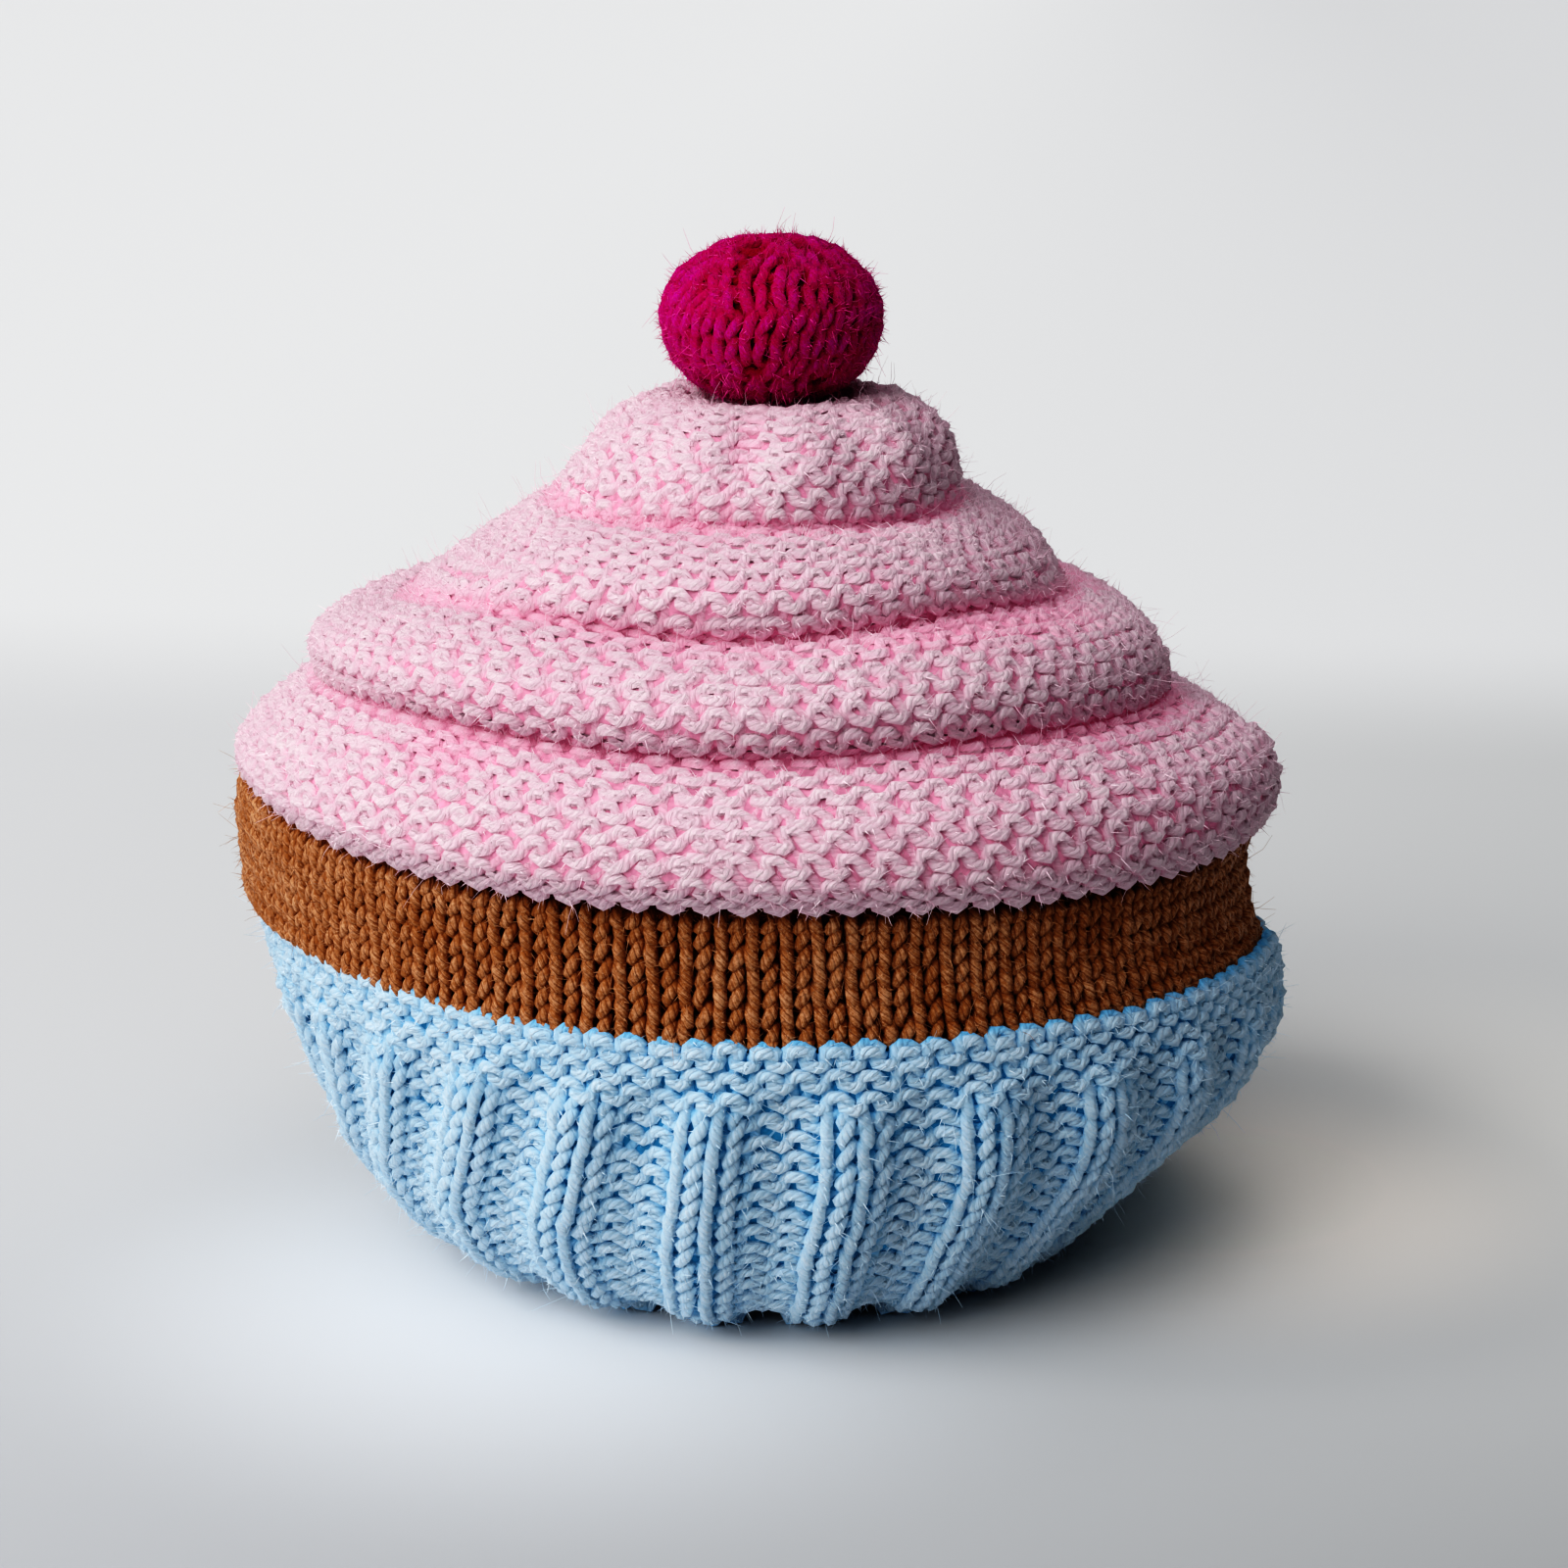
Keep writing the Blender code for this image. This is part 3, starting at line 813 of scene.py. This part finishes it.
def yarnMaterial(name, face, shadeColour, light, ply, sheen, roughness, through=None):
    # face is the colour of what stands forward; the second colour is painted shade, on what lies back, on the
    # yarn's sides towards the cloth and in creases; light is a painted highlight on what stands forward,
    # broken up at random by fibres; ply is how dark the painted shade between the strands is and how deep the
    # lines are, sheen the weight and the tint, and the last colour that of a painted glow in folds and gaps,
    # where no lamp shines
    material, shader, start = newMaterial(name, {
        "Roughness": roughness, "Sheen Weight": sheen[0], "Sheen Tint": sheen[1],
        "Sheen Roughness": yarnLook["sheenRoughness"], "Specular IOR Level": yarnLook["specular"],
        "Specular Tint": light,
    })
    fold = meshValue(start, "yarnFold")
    outward = meshValue(start, "outward")
    along = meshValue(start, "along")
    cosine = start.node("ShaderNodeSeparateXYZ", {0: meshValue(start, "around", 1).vector("NORMALIZE")})
    sine = cosine[1]
    twist = along * (2.0 * math.pi / (yarnLook["plyPitch"] * mm))
    twistCosine = twist.maths("COSINE", twist)
    twistSine = twist.maths("SINE", twist)
    plyCosine = cosine * twistCosine - sine * twistSine
    plySine = sine * twistCosine + cosine * twistSine
    strand = twist.maths("ABSOLUTE", plyCosine * plySine * 2.0)
    fibrePlace = start.node("ShaderNodeCombineXYZ", {
        0: along * (1.0 / (yarnLook["fibreLength"] * mm)),
        1: plyCosine * yarnLook["fibreTurns"],
        2: plySine * yarnLook["fibreTurns"],
    })
    fibre = noiseOf(start, 1.0, 4.0, fibrePlace)
    patch = noiseOf(start, yarnLook["patchFineness"], 2.0)
    speck = noiseOf(start, yarnLook["speckFineness"], 2.0)
    # painted shade: what lies back, the yarn's sides towards the cloth and the creases turn to the darker
    # colour
    parts = yarnLook["forward"]
    forward = outward * parts["outward"] + meshValue(start, "yarnLift") * parts["lift"] - fold * parts["fold"]
    base = forward.between(*yarnLook["faceFrom"]).mix(shadeColour, face)
    # painted highlight on what stands forward, broken up at random by patches, fibres and specks
    parts = yarnLook["bright"]
    bright = forward * parts["forward"] - parts["less"]
    for grain, key in ((patch, "patch"), (fibre, "fibre"), (speck, "speck")):
        bright = bright + (grain - 0.5) * parts[key]
    base = bright.between(0.0, 1.0).mix(base, light)
    # painted shade in the lines between the strands
    inGroove = strand.between(0.0, yarnLook["groove"]).mix(white, black)
    joinSocket(shader, "Base Color", (inGroove * ply[0]).mix(base, shadeColour))
    joinBump(shader, strand * ply[1] + fibre * yarnLook["fibreHeight"] + speck * yarnLook["speckHeight"])
    # a painted glow in folds and on what lies back, on the cloth's outer side
    if through:
        hollow = fold + (yarnLook["hollowFrom"] - forward) * yarnLook["hollowShare"]
        hollow = hollow * outward.between(*yarnLook["hollowFacing"])
        joinGlow(shader, hollow.between(*yarnLook["hollowRange"]).mix(black, through), yarnLook["through"])
    return material


clothLook = {
    "fineness": 700.0,
    "darker": 0.6,              # share of its colour that its dark places have
    "range": (0.3, 0.7),
    "height": 0.3,
    "through": 0.08,            # strength of a painted glow on its outer face
}


def clothMaterial(name, colour, through=None):
    material, shader, start = newMaterial(name, {"Roughness": 0.9, "Specular IOR Level": 0.1})
    patch = noiseOf(start, clothLook["fineness"], 2.0)
    dark = (*(clothLook["darker"] * c for c in colour[:3]), 1.0)
    joinSocket(shader, "Base Color", patch.between(*clothLook["range"]).mix(dark, colour))
    joinBump(shader, patch * clothLook["height"])
    # a painted glow on the outer face only
    if through:
        joinGlow(shader, meshValue(start, "outer").mix(black, through), clothLook["through"])
    return material


fuzzLook = {"fineness": 400.0, "range": (0.35, 0.65)}


def fuzzMaterial(name, colour, tip):
    material, shader, start = newMaterial(name, {"Roughness": 0.6, "Sheen Weight": 0.3})
    patch = noiseOf(start, fuzzLook["fineness"], 1.0)
    joinSocket(shader, "Base Color", patch.between(*fuzzLook["range"]).mix(colour, tip))
    return material


blueYarn = yarnMaterial(
    "blue yarn", (0.47, 0.65, 0.81, 1), (0.15, 0.47, 0.80, 1), (0.64, 0.74, 0.83, 1),
    (0.16, 0.14), (0.5, (0.62, 0.82, 1.0, 1)), 0.65, (0.02, 0.20, 0.38, 1))
brownYarn = yarnMaterial(
    "brown yarn", (0.31, 0.112, 0.036, 1), (0.085, 0.008, 0.001, 1), (0.68, 0.385, 0.23, 1),
    (0.50, 0.18), (0.15, (0.80, 0.42, 0.20, 1)), 0.42)
pinkYarn = yarnMaterial(
    "pink yarn", (0.72, 0.50, 0.585, 1), (0.74, 0.33, 0.45, 1), (0.80, 0.67, 0.71, 1),
    (0.12, 0.11), (0.4, (1.0, 0.66, 0.78, 1)), 0.65, (0.80, 0.16, 0.34, 1))
cherryYarn = yarnMaterial(
    "cherry yarn", (0.40, 0.001, 0.090, 1), (0.22, 0.0, 0.012, 1), (0.50, 0.010, 0.33, 1),
    (0.15, 0.10), (0.3, (0.80, 0.01, 0.40, 1)), 0.6)
# the cloths and the cherry's ball are darker than their yarns: painted shade, seen in the gaps between the
# stitches; the blue and pink cloths also get a painted glow
blueCloth = clothMaterial("blue cloth", (0.06, 0.25, 0.46, 1), (0.02, 0.30, 0.56, 1))
brownCloth = clothMaterial("brown cloth", (0.085, 0.012, 0.002, 1))
pinkCloth = clothMaterial("pink cloth", (0.72, 0.30, 0.42, 1), (0.80, 0.28, 0.45, 1))
cherryCloth = clothMaterial("cherry cloth", (0.17, 0.0, 0.02, 1))
blueFuzz = fuzzMaterial("blue fuzz", (0.56, 0.74, 0.90, 1), (0.74, 0.86, 0.95, 1))
brownFuzz = fuzzMaterial("brown fuzz", (0.24, 0.09, 0.03, 1), (0.58, 0.30, 0.15, 1))
pinkFuzz = fuzzMaterial("pink fuzz", (0.88, 0.60, 0.70, 1), (0.96, 0.78, 0.85, 1))
cherryFuzz = fuzzMaterial("cherry fuzz", (0.46, 0.002, 0.13, 1), (0.78, 0.05, 0.34, 1))


cloth = {"thickness": 0.6, "rowStep": 1.9, "leastRows": 6, "edge": 0.25}


def shellMesh(name, outer, inner):
    # a closed thin shell from two grids of the same shape
    rows, columns = outer.shape[:2]
    number = np.arange(rows * columns).reshape(rows, columns)
    under = number + rows * columns
    quads = []
    a, b, c, d = number[:-1, :-1], number[:-1, 1:], number[1:, 1:], number[1:, :-1]
    quads.append(np.stack((a, b, c, d), -1).reshape(-1, 4))
    a, b, c, d = under[:-1, :-1], under[:-1, 1:], under[1:, 1:], under[1:, :-1]
    quads.append(np.stack((d, c, b, a), -1).reshape(-1, 4))
    rim = np.concatenate((number[0, :-1], number[:-1, -1], number[-1, :0:-1], number[:0:-1, 0]))
    nextRim = np.roll(rim, -1)
    quads.append(np.stack((nextRim, rim, rim + rows * columns, nextRim + rows * columns), -1))
    mesh = bpy.data.meshes.new(name)
    points = np.concatenate((outer.reshape(-1, 3), inner.reshape(-1, 3))) * mm
    mesh.from_pydata(points.tolist(), [], np.concatenate(quads).tolist())
    mesh.shade_smooth()
    layer = mesh.attributes.new("outer", "FLOAT", "POINT")
    layer.data.foreach_set("value", np.repeat((1.0, 0.0), rows * columns))
    return mesh


def clothPiece(name, band, surface):
    total = band["profile"]["distance"][-1]
    rows = max(cloth["leastRows"], round(total / cloth["rowStep"]))
    low, high = band["margins"]
    distance = np.linspace(low, total - high, rows + 1)[:, None]
    stitch = np.linspace(cloth["edge"], wall["stitches"] - cloth["edge"], band["columns"] + 1)[None, :]
    place, normal, _ = wallFrame(surface, *np.broadcast_arrays(distance, stitch))
    outer = place + normal * band["outside"]
    mesh = shellMesh(name, outer, place + normal * (band["outside"] - cloth["thickness"]))
    mesh.materials.append(band["cloth"])
    return placed(name, mesh)


caseKnit = {"start": 1.0, "rows": 19, "ridgeRows": 3}
cakeKnit = {"start": -2.6, "rows": 7}
icingKnit = {"start": 0.3, "rowHeight": 3.3, "stitchWidth": 4.75, "leastStitches": 5, "endMargin": 1.0}


def withEdge(courses):
    start, height, count, faces = courses[0]
    return [(start + loop["edgeStart"] * height, height, count, faces)] + courses


def halfLength(surface, distance, places=120):
    stitch = np.linspace(0.0, wall["stitches"], places)
    points = surface(np.full_like(stitch, distance), stitch)
    return np.linalg.norm(np.diff(points, axis=0), axis=1).sum()


def evenCourses(start, span, rows, countAt, facesOf):
    # rows of one height up a span; their stitches may be fewer where the form is narrower at a row's end
    height = span / rows
    courses = []
    for row in range(rows):
        place = start + row * height
        count = countAt(place + height)
        courses.append((place, height, count, facesOf(row, count)))
    return courses


def fullWidth(distance):
    return wall["stitches"]


def caseCourses(surface):
    span = caseBand["profile"]["distance"][-1] - caseKnit["start"]
    ribs = [1.0 if i % wall["ribRepeat"] < wall["ribKnit"] else -1.0 for i in range(wall["stitches"])]

    def facesOf(row, count):
        return ribs if row < caseKnit["rows"] - caseKnit["ridgeRows"] else [-1.0] * count
    return evenCourses(caseKnit["start"], span, caseKnit["rows"], fullWidth, facesOf)


def cakeCourses(surface):
    span = cakeBand["profile"]["distance"][-1] - cakeKnit["start"]
    return evenCourses(cakeKnit["start"], span, cakeKnit["rows"], fullWidth, lambda row, count: [1.0] * count)


def icingCourses(surface):
    def countAt(distance):
        count = round(halfLength(surface, distance) / icingKnit["stitchWidth"])
        return max(icingKnit["leastStitches"], min(count, wall["stitches"]))
    span = icingBand["profile"]["distance"][-1] - icingKnit["endMargin"] - icingKnit["start"]
    rows = round(span / icingKnit["rowHeight"])
    return evenCourses(icingKnit["start"], span, rows, countAt, lambda row, count: [-1.0] * count)


yarn = yarnTree()
fuzz = fuzzTree()
bloom = bloomTree()
yarnValues = {
    "Thickness": mm, "Sides": 6, "Wander": 0.45 * mm, "Wander Size": 6.0 * mm, "Slub": 0.30, "Seed": 3.0,
}
longFuzz = {
    "Shortest": 1.2 * mm, "Longest": 6.0 * mm, "Thickness": 0.045 * mm, "Points": 3, "Splay": 0.9,
    "Curl": 3.0 * mm, "Curl Size": 3.0 * mm,
}
shortFuzz = {
    "Shortest": 0.8 * mm, "Longest": 2.6 * mm, "Thickness": 0.075 * mm, "Splay": 1.6,
}
# the rest of what makes each band: margins are the cloth's from the band's ends, and outside is how far its
# outer face lies past the yarn's middle; flat is how wide and long it is laid flat, in metres, and area what
# its edges leave of that
caseBand.update(
    name="case", courses=caseCourses, gauge=caseGauge, topFaces=(1.0,),
    yarn=blueYarn, cloth=blueCloth, fuzz=blueFuzz, slot="blue_yarn", softness=0.46,
    columns=42, margins=(1.2, 1.6), outside=-0.10, hairs=900, nap=8500,
    flat=(0.238, 0.068), area=0.0148, held="stretched",
)
cakeBand.update(
    name="cake", courses=cakeCourses, gauge=cakeGauge, topFaces=(1.0,),
    yarn=brownYarn, cloth=brownCloth, fuzz=brownFuzz, slot="brown_yarn", softness=0.24,
    columns=30, margins=(-2.0, -3.0), outside=0.0, hairs=450, nap=3000,
    flat=(0.238, 0.023), area=0.0054, held="stretched",
)
icingBand.update(
    name="icing", courses=icingCourses, gauge=icingGauge, topFaces=(-1.0,),
    yarn=pinkYarn, cloth=pinkCloth, fuzz=pinkFuzz, slot="pink_yarn", softness=0.62,
    columns=42, margins=(0.8, 1.0), outside=0.20, hairs=1100, nap=11500,
    flat=(0.240, 0.112), area=0.0165, held="gathered",
)
bands = (caseBand, cakeBand, icingBand)


def soften(stitches, share):
    # shade each yarn partly as the cloth it lies in, as its loose fibres blur it
    mesh = stitches.data
    count = len(mesh.vertices)
    own = np.empty(count * 3, np.float32)
    mesh.vertex_normals.foreach_get("vector", own)
    ofCloth = np.empty(count * 3, np.float32)
    mesh.attributes["clothNormal"].data.foreach_get("vector", ofCloth)
    blend = (1.0 - share) * own.reshape(-1, 3) + share * ofCloth.reshape(-1, 3)
    blend /= np.maximum(np.linalg.norm(blend, axis=1, keepdims=True), 1e-6)
    mesh.normals_split_custom_set_from_vertices(blend.tolist())


def surfaceArea(mesh):
    return sum(polygon.area for polygon in mesh.polygons)


fuzzSeen = 2.4              # fibres asked for, to each that stands on the side that counts
leastHeight = 0.02 * mm     # of a fibre's points over the table


def addFuzz(stitches, name, tree, values, count, material, seed):
    density = fuzzSeen * count / surfaceArea(stitches.data)
    grown = grow(stitches, tree, name, dict(values, Finish=material, Seed=seed, Density=density))
    # what would reach under the table lies along it
    for vertex in grown.data.vertices:
        vertex.co.z = max(vertex.co.z, leastHeight)
    return grown


def knitted(name, thread, finish):
    # the yarn along a thread
    guide = guideObject(thread)
    grown = grow(guide, yarn, name, dict(yarnValues, Finish=finish))
    bpy.data.objects.remove(guide)
    return grown


def settled(piece, slotName):
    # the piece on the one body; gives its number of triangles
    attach(piece, "root")
    piece.data.calc_loop_triangles()
    return len(piece.data.loop_triangles)


halfSeeds = (11, 5, 15)     # of a half's yarn, its hairs and its nap, to which its face is added


def makeHalf(band, side, face):
    name = band["name"] + side
    surface = halfSurface(band, face)
    courses = withEdge(band["courses"](surface))
    fold = icingFold(face) if band is icingBand else noFold
    yarnSeed, hairSeed, napSeed = (seed + face for seed in halfSeeds)
    thread = courseYarn(surface, wall["stitches"], courses, band["gauge"], yarnSeed, fold, band["topFaces"])
    stitches = knitted(name + "Stitches", thread, band["yarn"])
    soften(stitches, band["softness"])
    hair = addFuzz(stitches, name + "Fuzz", fuzz, longFuzz, band["hairs"], band["fuzz"], hairSeed)
    nap = addFuzz(stitches, name + "Nap", bloom, shortFuzz, band["nap"], band["fuzz"], napSeed)
    base = clothPiece(name + "Cloth", band, surface)
    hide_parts(band["name"] + "_" + side.lower())
    band["flat"]
    band["area"]
    band["held"]
    counts = [settled(piece, band["slot"]) for piece in (base, stitches, hair, nap)]
    print(name, len(courses), "rows", sum(course[2] for course in courses), "stitches", *counts)
    return sum(counts)


triangles = sum(
    makeHalf(band, side, face) for band in bands for side, face in (("Front", -1), ("Back", 1))
)


def cherryCourses():
    def countAt(distance):
        radius = max(cherryOutline(distance)[0] - cherry["inset"], 0.0)
        count = max(cherry["leastStitches"], round(2.0 * math.pi * radius / cherry["stitchWidth"]))
        return min(count, cherryAround)
    low, high = cherry["ends"]
    span = cherryDistance[-1] - low - high
    rows = round(span / cherry["rowHeight"])
    return evenCourses(low, span, rows, countAt, lambda row, count: [1.0] * count)


def insetSurface(distance, stitch):
    place, normal, _ = wallFrame(cherrySurface, distance, stitch)
    return place - normal * cherry["inset"]


knot = {
    "turns": 2.0, "points": 22, "inner": 0.4, "outer": 2.3, "above": 0.35, "fall": 0.5, "radius": 0.85,
    "lift": 0.4,
}


def cherryKnot():
    # the yarn's end, drawn tight and coiled over the gathered top
    turn = np.linspace(0.0, 2.0 * np.pi * knot["turns"], knot["points"])
    share = turn / turn[-1]
    reach = knot["inner"] + (knot["outer"] - knot["inner"]) * share
    top = cherry["middle"] + cherryHeight[-1] - cherry["inset"] + knot["above"]
    x = wall["axisX"] + reach * np.cos(turn)
    place = np.stack((x, reach * np.sin(turn), top - knot["fall"] * share), -1)
    return threadOf(place, (0.0, 0.0, 1.0), knot["radius"], knot["lift"], 0.0)


def cherryBall():
    # the stuffed ball under the stitches
    distance = np.linspace(0.0, cherryDistance[-1], cherry["rings"])[1:-1]
    sides = cherry["sides"]
    stitch = np.arange(sides) / sides * cherryAround
    place, normal, _ = wallFrame(cherrySurface, *np.meshgrid(distance, stitch, indexing="ij"))
    place = place - normal * (cherry["inset"] + cherry["clearance"])
    number = np.arange(len(distance) * sides).reshape(-1, sides)
    beside = np.roll(number, -1, axis=1)
    quads = np.stack((number[:-1], beside[:-1], beside[1:], number[1:]), -1).reshape(-1, 4).tolist()
    quads += [list(number[0][::-1]), list(number[-1])]
    mesh = bpy.data.meshes.new("cherryBall")
    mesh.from_pydata((place.reshape(-1, 3) * mm).tolist(), [], quads)
    mesh.shade_smooth()
    mesh.materials.append(cherryCloth)
    return placed("cherryBall", mesh)


# where the halves are sewn together, below the slits and above them: a yarn laced round the two edges
lacing = {
    "pitch": 3.3, "points": 10, "across": 1.35, "outside": 0.75, "inside": 0.9, "radius": 0.72,
    "closed": 0.03,             # share of a slit's opening below which it is sewn
    "ends": (0.5, 1.5),         # left free at a band's lower and upper edge
    "step": 0.5,
    "overlap": 5.0,             # how far past a slit's end the sewing may reach
}


def seamRanges(band, slit):
    # the stretches of a band, by distance along it, in which the slit is closed
    low, high = lacing["ends"]
    distance = np.arange(low, band["profile"]["distance"][-1] - high, lacing["step"])
    height = ringAt(band["profile"], distance)[:, 0]
    shut = slitOpening(slit, height) < lacing["closed"]
    parts = (height < slit.bottom + lacing["overlap"], height > slit.top - lacing["overlap"])
    return [distance[shut & part] for part in parts]


def seamYarn(band, stitch, low, high):
    turns = (high - low) / lacing["pitch"]
    t = np.arange(0.0, turns, 1.0 / lacing["points"])
    distance = low + t * lacing["pitch"]
    front = wallPoint(band, -1, distance, stitch)
    back = wallPoint(band, 1, distance, stitch)
    middle = 0.5 * (front + back)
    up = np.gradient(middle, axis=0)
    across = np.zeros_like(up)
    across[:, 1] = 1.0
    normal = np.cross(across, up) if stitch > 0 else np.cross(up, across)
    normal /= np.linalg.norm(normal, axis=-1, keepdims=True)
    around = 2.0 * np.pi * t
    height = np.where(np.cos(around) > 0, lacing["outside"], lacing["inside"]) * np.cos(around)
    place = middle + across * (lacing["across"] * np.sin(around))[:, None] + normal * height[:, None]
    return threadOf(place, normal, lacing["radius"], np.cos(around), 0.0)


for band in bands:
    for side, slit, stitch in (("Spout", spoutSlit, 0.0), ("Handle", handleSlit, wall["stitches"])):
        for stretch in seamRanges(band, slit):
            if len(stretch) < 2:
                continue
            thread = seamYarn(band, stitch, stretch[0], stretch[-1])
            seam = knitted(band["name"] + side + "Seam", thread, band["yarn"])
            triangles += settled(seam, band["slot"])
            print("seam", seam.name, round(stretch[0]), round(stretch[-1]))

ball = cherryBall()
yarnSeed, hairSeed, napSeed = cherry["seeds"]
courses = cherryCourses()
thread = courseYarn(insetSurface, cherryAround, courses, cherryGauge, yarnSeed, cherryFold, ring=True)
cherryStitches = knitted("cherryStitches", thread, cherryYarn)
soften(cherryStitches, cherry["softness"])
cherryHair = addFuzz(cherryStitches, "cherryHair", fuzz, longFuzz, cherry["hairs"], cherryFuzz, hairSeed)
cherryNap = addFuzz(cherryStitches, "cherryNap", bloom, shortFuzz, cherry["nap"], cherryFuzz, napSeed)
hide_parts("cherry")
cherryEnd = knitted("cherryEnd", cherryKnot(), cherryYarn)
for piece in (ball, cherryStitches, cherryHair, cherryNap, cherryEnd):
    triangles += settled(piece, "cherry_yarn")
print("cherry done, all triangles", triangles)


stageSettings = {
    "floorSize": 8.0,
    "sun": (-0.68, -0.56, 0.50),
    "sunEnergy": 2.4,
    "sunAngle": 60,
    "sunColour": (1.0, 0.985, 0.96),
    "sky": (-0.24, -0.31, 0.93),        # where the room is brightest
    "skyWidth": 0.60,
    "skyDark": 0.01,
    "skyLight": 1.46,
    "skyColour": (0.96, 0.975, 1.0, 1),
    "backdrop": (0.60, 0.61, 0.62, 1),  # what lies beyond the floor
}

# The table's tones from the near side to the far one, and the wall's behind it; the ranges, in metres, are
# those over which one turns into the next. The tones are darker on the right and on the near side: painted
# shade.
tableLook = {
    "left": ((0.585, 0.60, 0.625, 1), (0.67, 0.675, 0.685, 1), (0.80, 0.805, 0.81, 1)),
    "right": ((0.21, 0.215, 0.215, 1), (0.49, 0.495, 0.495, 1), (0.665, 0.67, 0.68, 1)),
    "leftDepth": (-0.25, 0.10),
    "rightDepth": (-0.17, 0.06),
    "wallDepth": (0.30, 0.46),
    "across": (-0.35, 0.40),
    "middle": (0.0, 0.13, 0.0),         # far from here the table is of one tone
    "farTone": (0.58, 0.585, 0.59, 1),
    "farReach": (0.30, 0.60),
}

# painted light: paler places of the table, that lighten its shadow where it would else be too deep: where,
# how far, and how much paler
paintedLightPlaces = (
    ((0.068, 0.012, 0.0), 0.070, (2.05, 1.88, 1.72, 1)),
    ((0.112, 0.060, 0.0), 0.105, (1.34, 1.31, 1.26, 1)),
    ((-0.024, -0.038, 0.0), 0.092, (1.46, 1.46, 1.47, 1)),
)

# how scene light is shown: deep shadows kept deep, and the brightest tones eased
toneCurve = ((0.03, 0.015), (0.12, 0.102), (0.35, 0.35), (0.65, 0.59))
toneEnd = (1.0, 0.74)


def floorMaterial():
    material, shader, start = newMaterial("pale table", {"Roughness": 0.8, "Specular IOR Level": 0.2})
    place = start.node("ShaderNodeTexCoord", output=3)
    across = start.node("ShaderNodeSeparateXYZ", {0: place})
    depth = across[1]
    wallShare = depth.between(*tableLook["wallDepth"])
    # painted shade: the table darker to the right and towards the near side
    sides = []
    for side in ("left", "right"):
        nearTone, tone, wallTone = tableLook[side]
        near = depth.between(*tableLook[side + "Depth"])
        sides.append(wallShare.mix(near.mix(nearTone, tone), wallTone))
    table = across.between(*tableLook["across"]).mix(*sides)
    # painted light: paler places that lighten the table's shadow
    for centre, reach, paler in paintedLightPlaces:
        away = place.vector("DISTANCE", centre, 1)
        table = table.vector("MULTIPLY", away.between(0.0, reach).mix(paler, white))
    away = place.vector("DISTANCE", tableLook["middle"], 1)
    far = away.between(*tableLook["farReach"]) * (1.0 - wallShare)
    joinSocket(shader, "Base Color", far.mix(table, tableLook["farTone"]))
    return material


def makeFloor():
    mesh = bpy.data.meshes.new("table")
    s = stageSettings["floorSize"]
    mesh.from_pydata([(-s, -s, 0), (s, -s, 0), (s, s, 0), (-s, s, 0)], [], [(0, 1, 2, 3)])
    mesh.materials.append(floorMaterial())
    placed("table", mesh)


def makeWorld():
    world = bpy.data.worlds.new("room")
    world.use_nodes = True
    tree = world.node_tree
    start = Sum(tree, None)
    sky = tuple(Vector(stageSettings["sky"]).normalized())
    facing = start.node("ShaderNodeTexCoord").vector("DOT_PRODUCT", sky, 1)
    dark, light = stageSettings["skyDark"], stageSettings["skyLight"]
    brightness = facing.between(stageSettings["skyWidth"], 1.0) * (light - dark)
    seen = start.node("ShaderNodeLightPath")
    strength = brightness + dark
    colour = seen.mix(stageSettings["skyColour"], stageSettings["backdrop"])
    background = tree.nodes["Background"]
    tree.links.new(colour.socket, background.inputs["Color"])
    tree.links.new((seen + strength * (1.0 - seen)).socket, background.inputs["Strength"])
    bpy.context.scene.world = world


def makeSun():
    sun = bpy.data.lights.new("window", "SUN")
    sun.energy = stageSettings["sunEnergy"]
    sun.angle = math.radians(stageSettings["sunAngle"])
    sun.color = stageSettings["sunColour"]
    lamp = placed("window", sun)
    lamp.rotation_euler = Vector(stageSettings["sun"]).to_track_quat("Z", "Y").to_euler()


def setTones():
    settings = bpy.context.scene.view_settings
    settings.view_transform = "Standard"
    settings.look = "High Contrast"
    settings.use_curve_mapping = True
    points = settings.curve_mapping.curves[3].points
    for dark, shown in toneCurve:
        points.new(dark, shown)
    points[-1].location = toneEnd
    settings.curve_mapping.update()


makeCamera(cameraSettings)
makeFloor()
makeWorld()
makeSun()
setTones()
print("camera, floor and light placed")
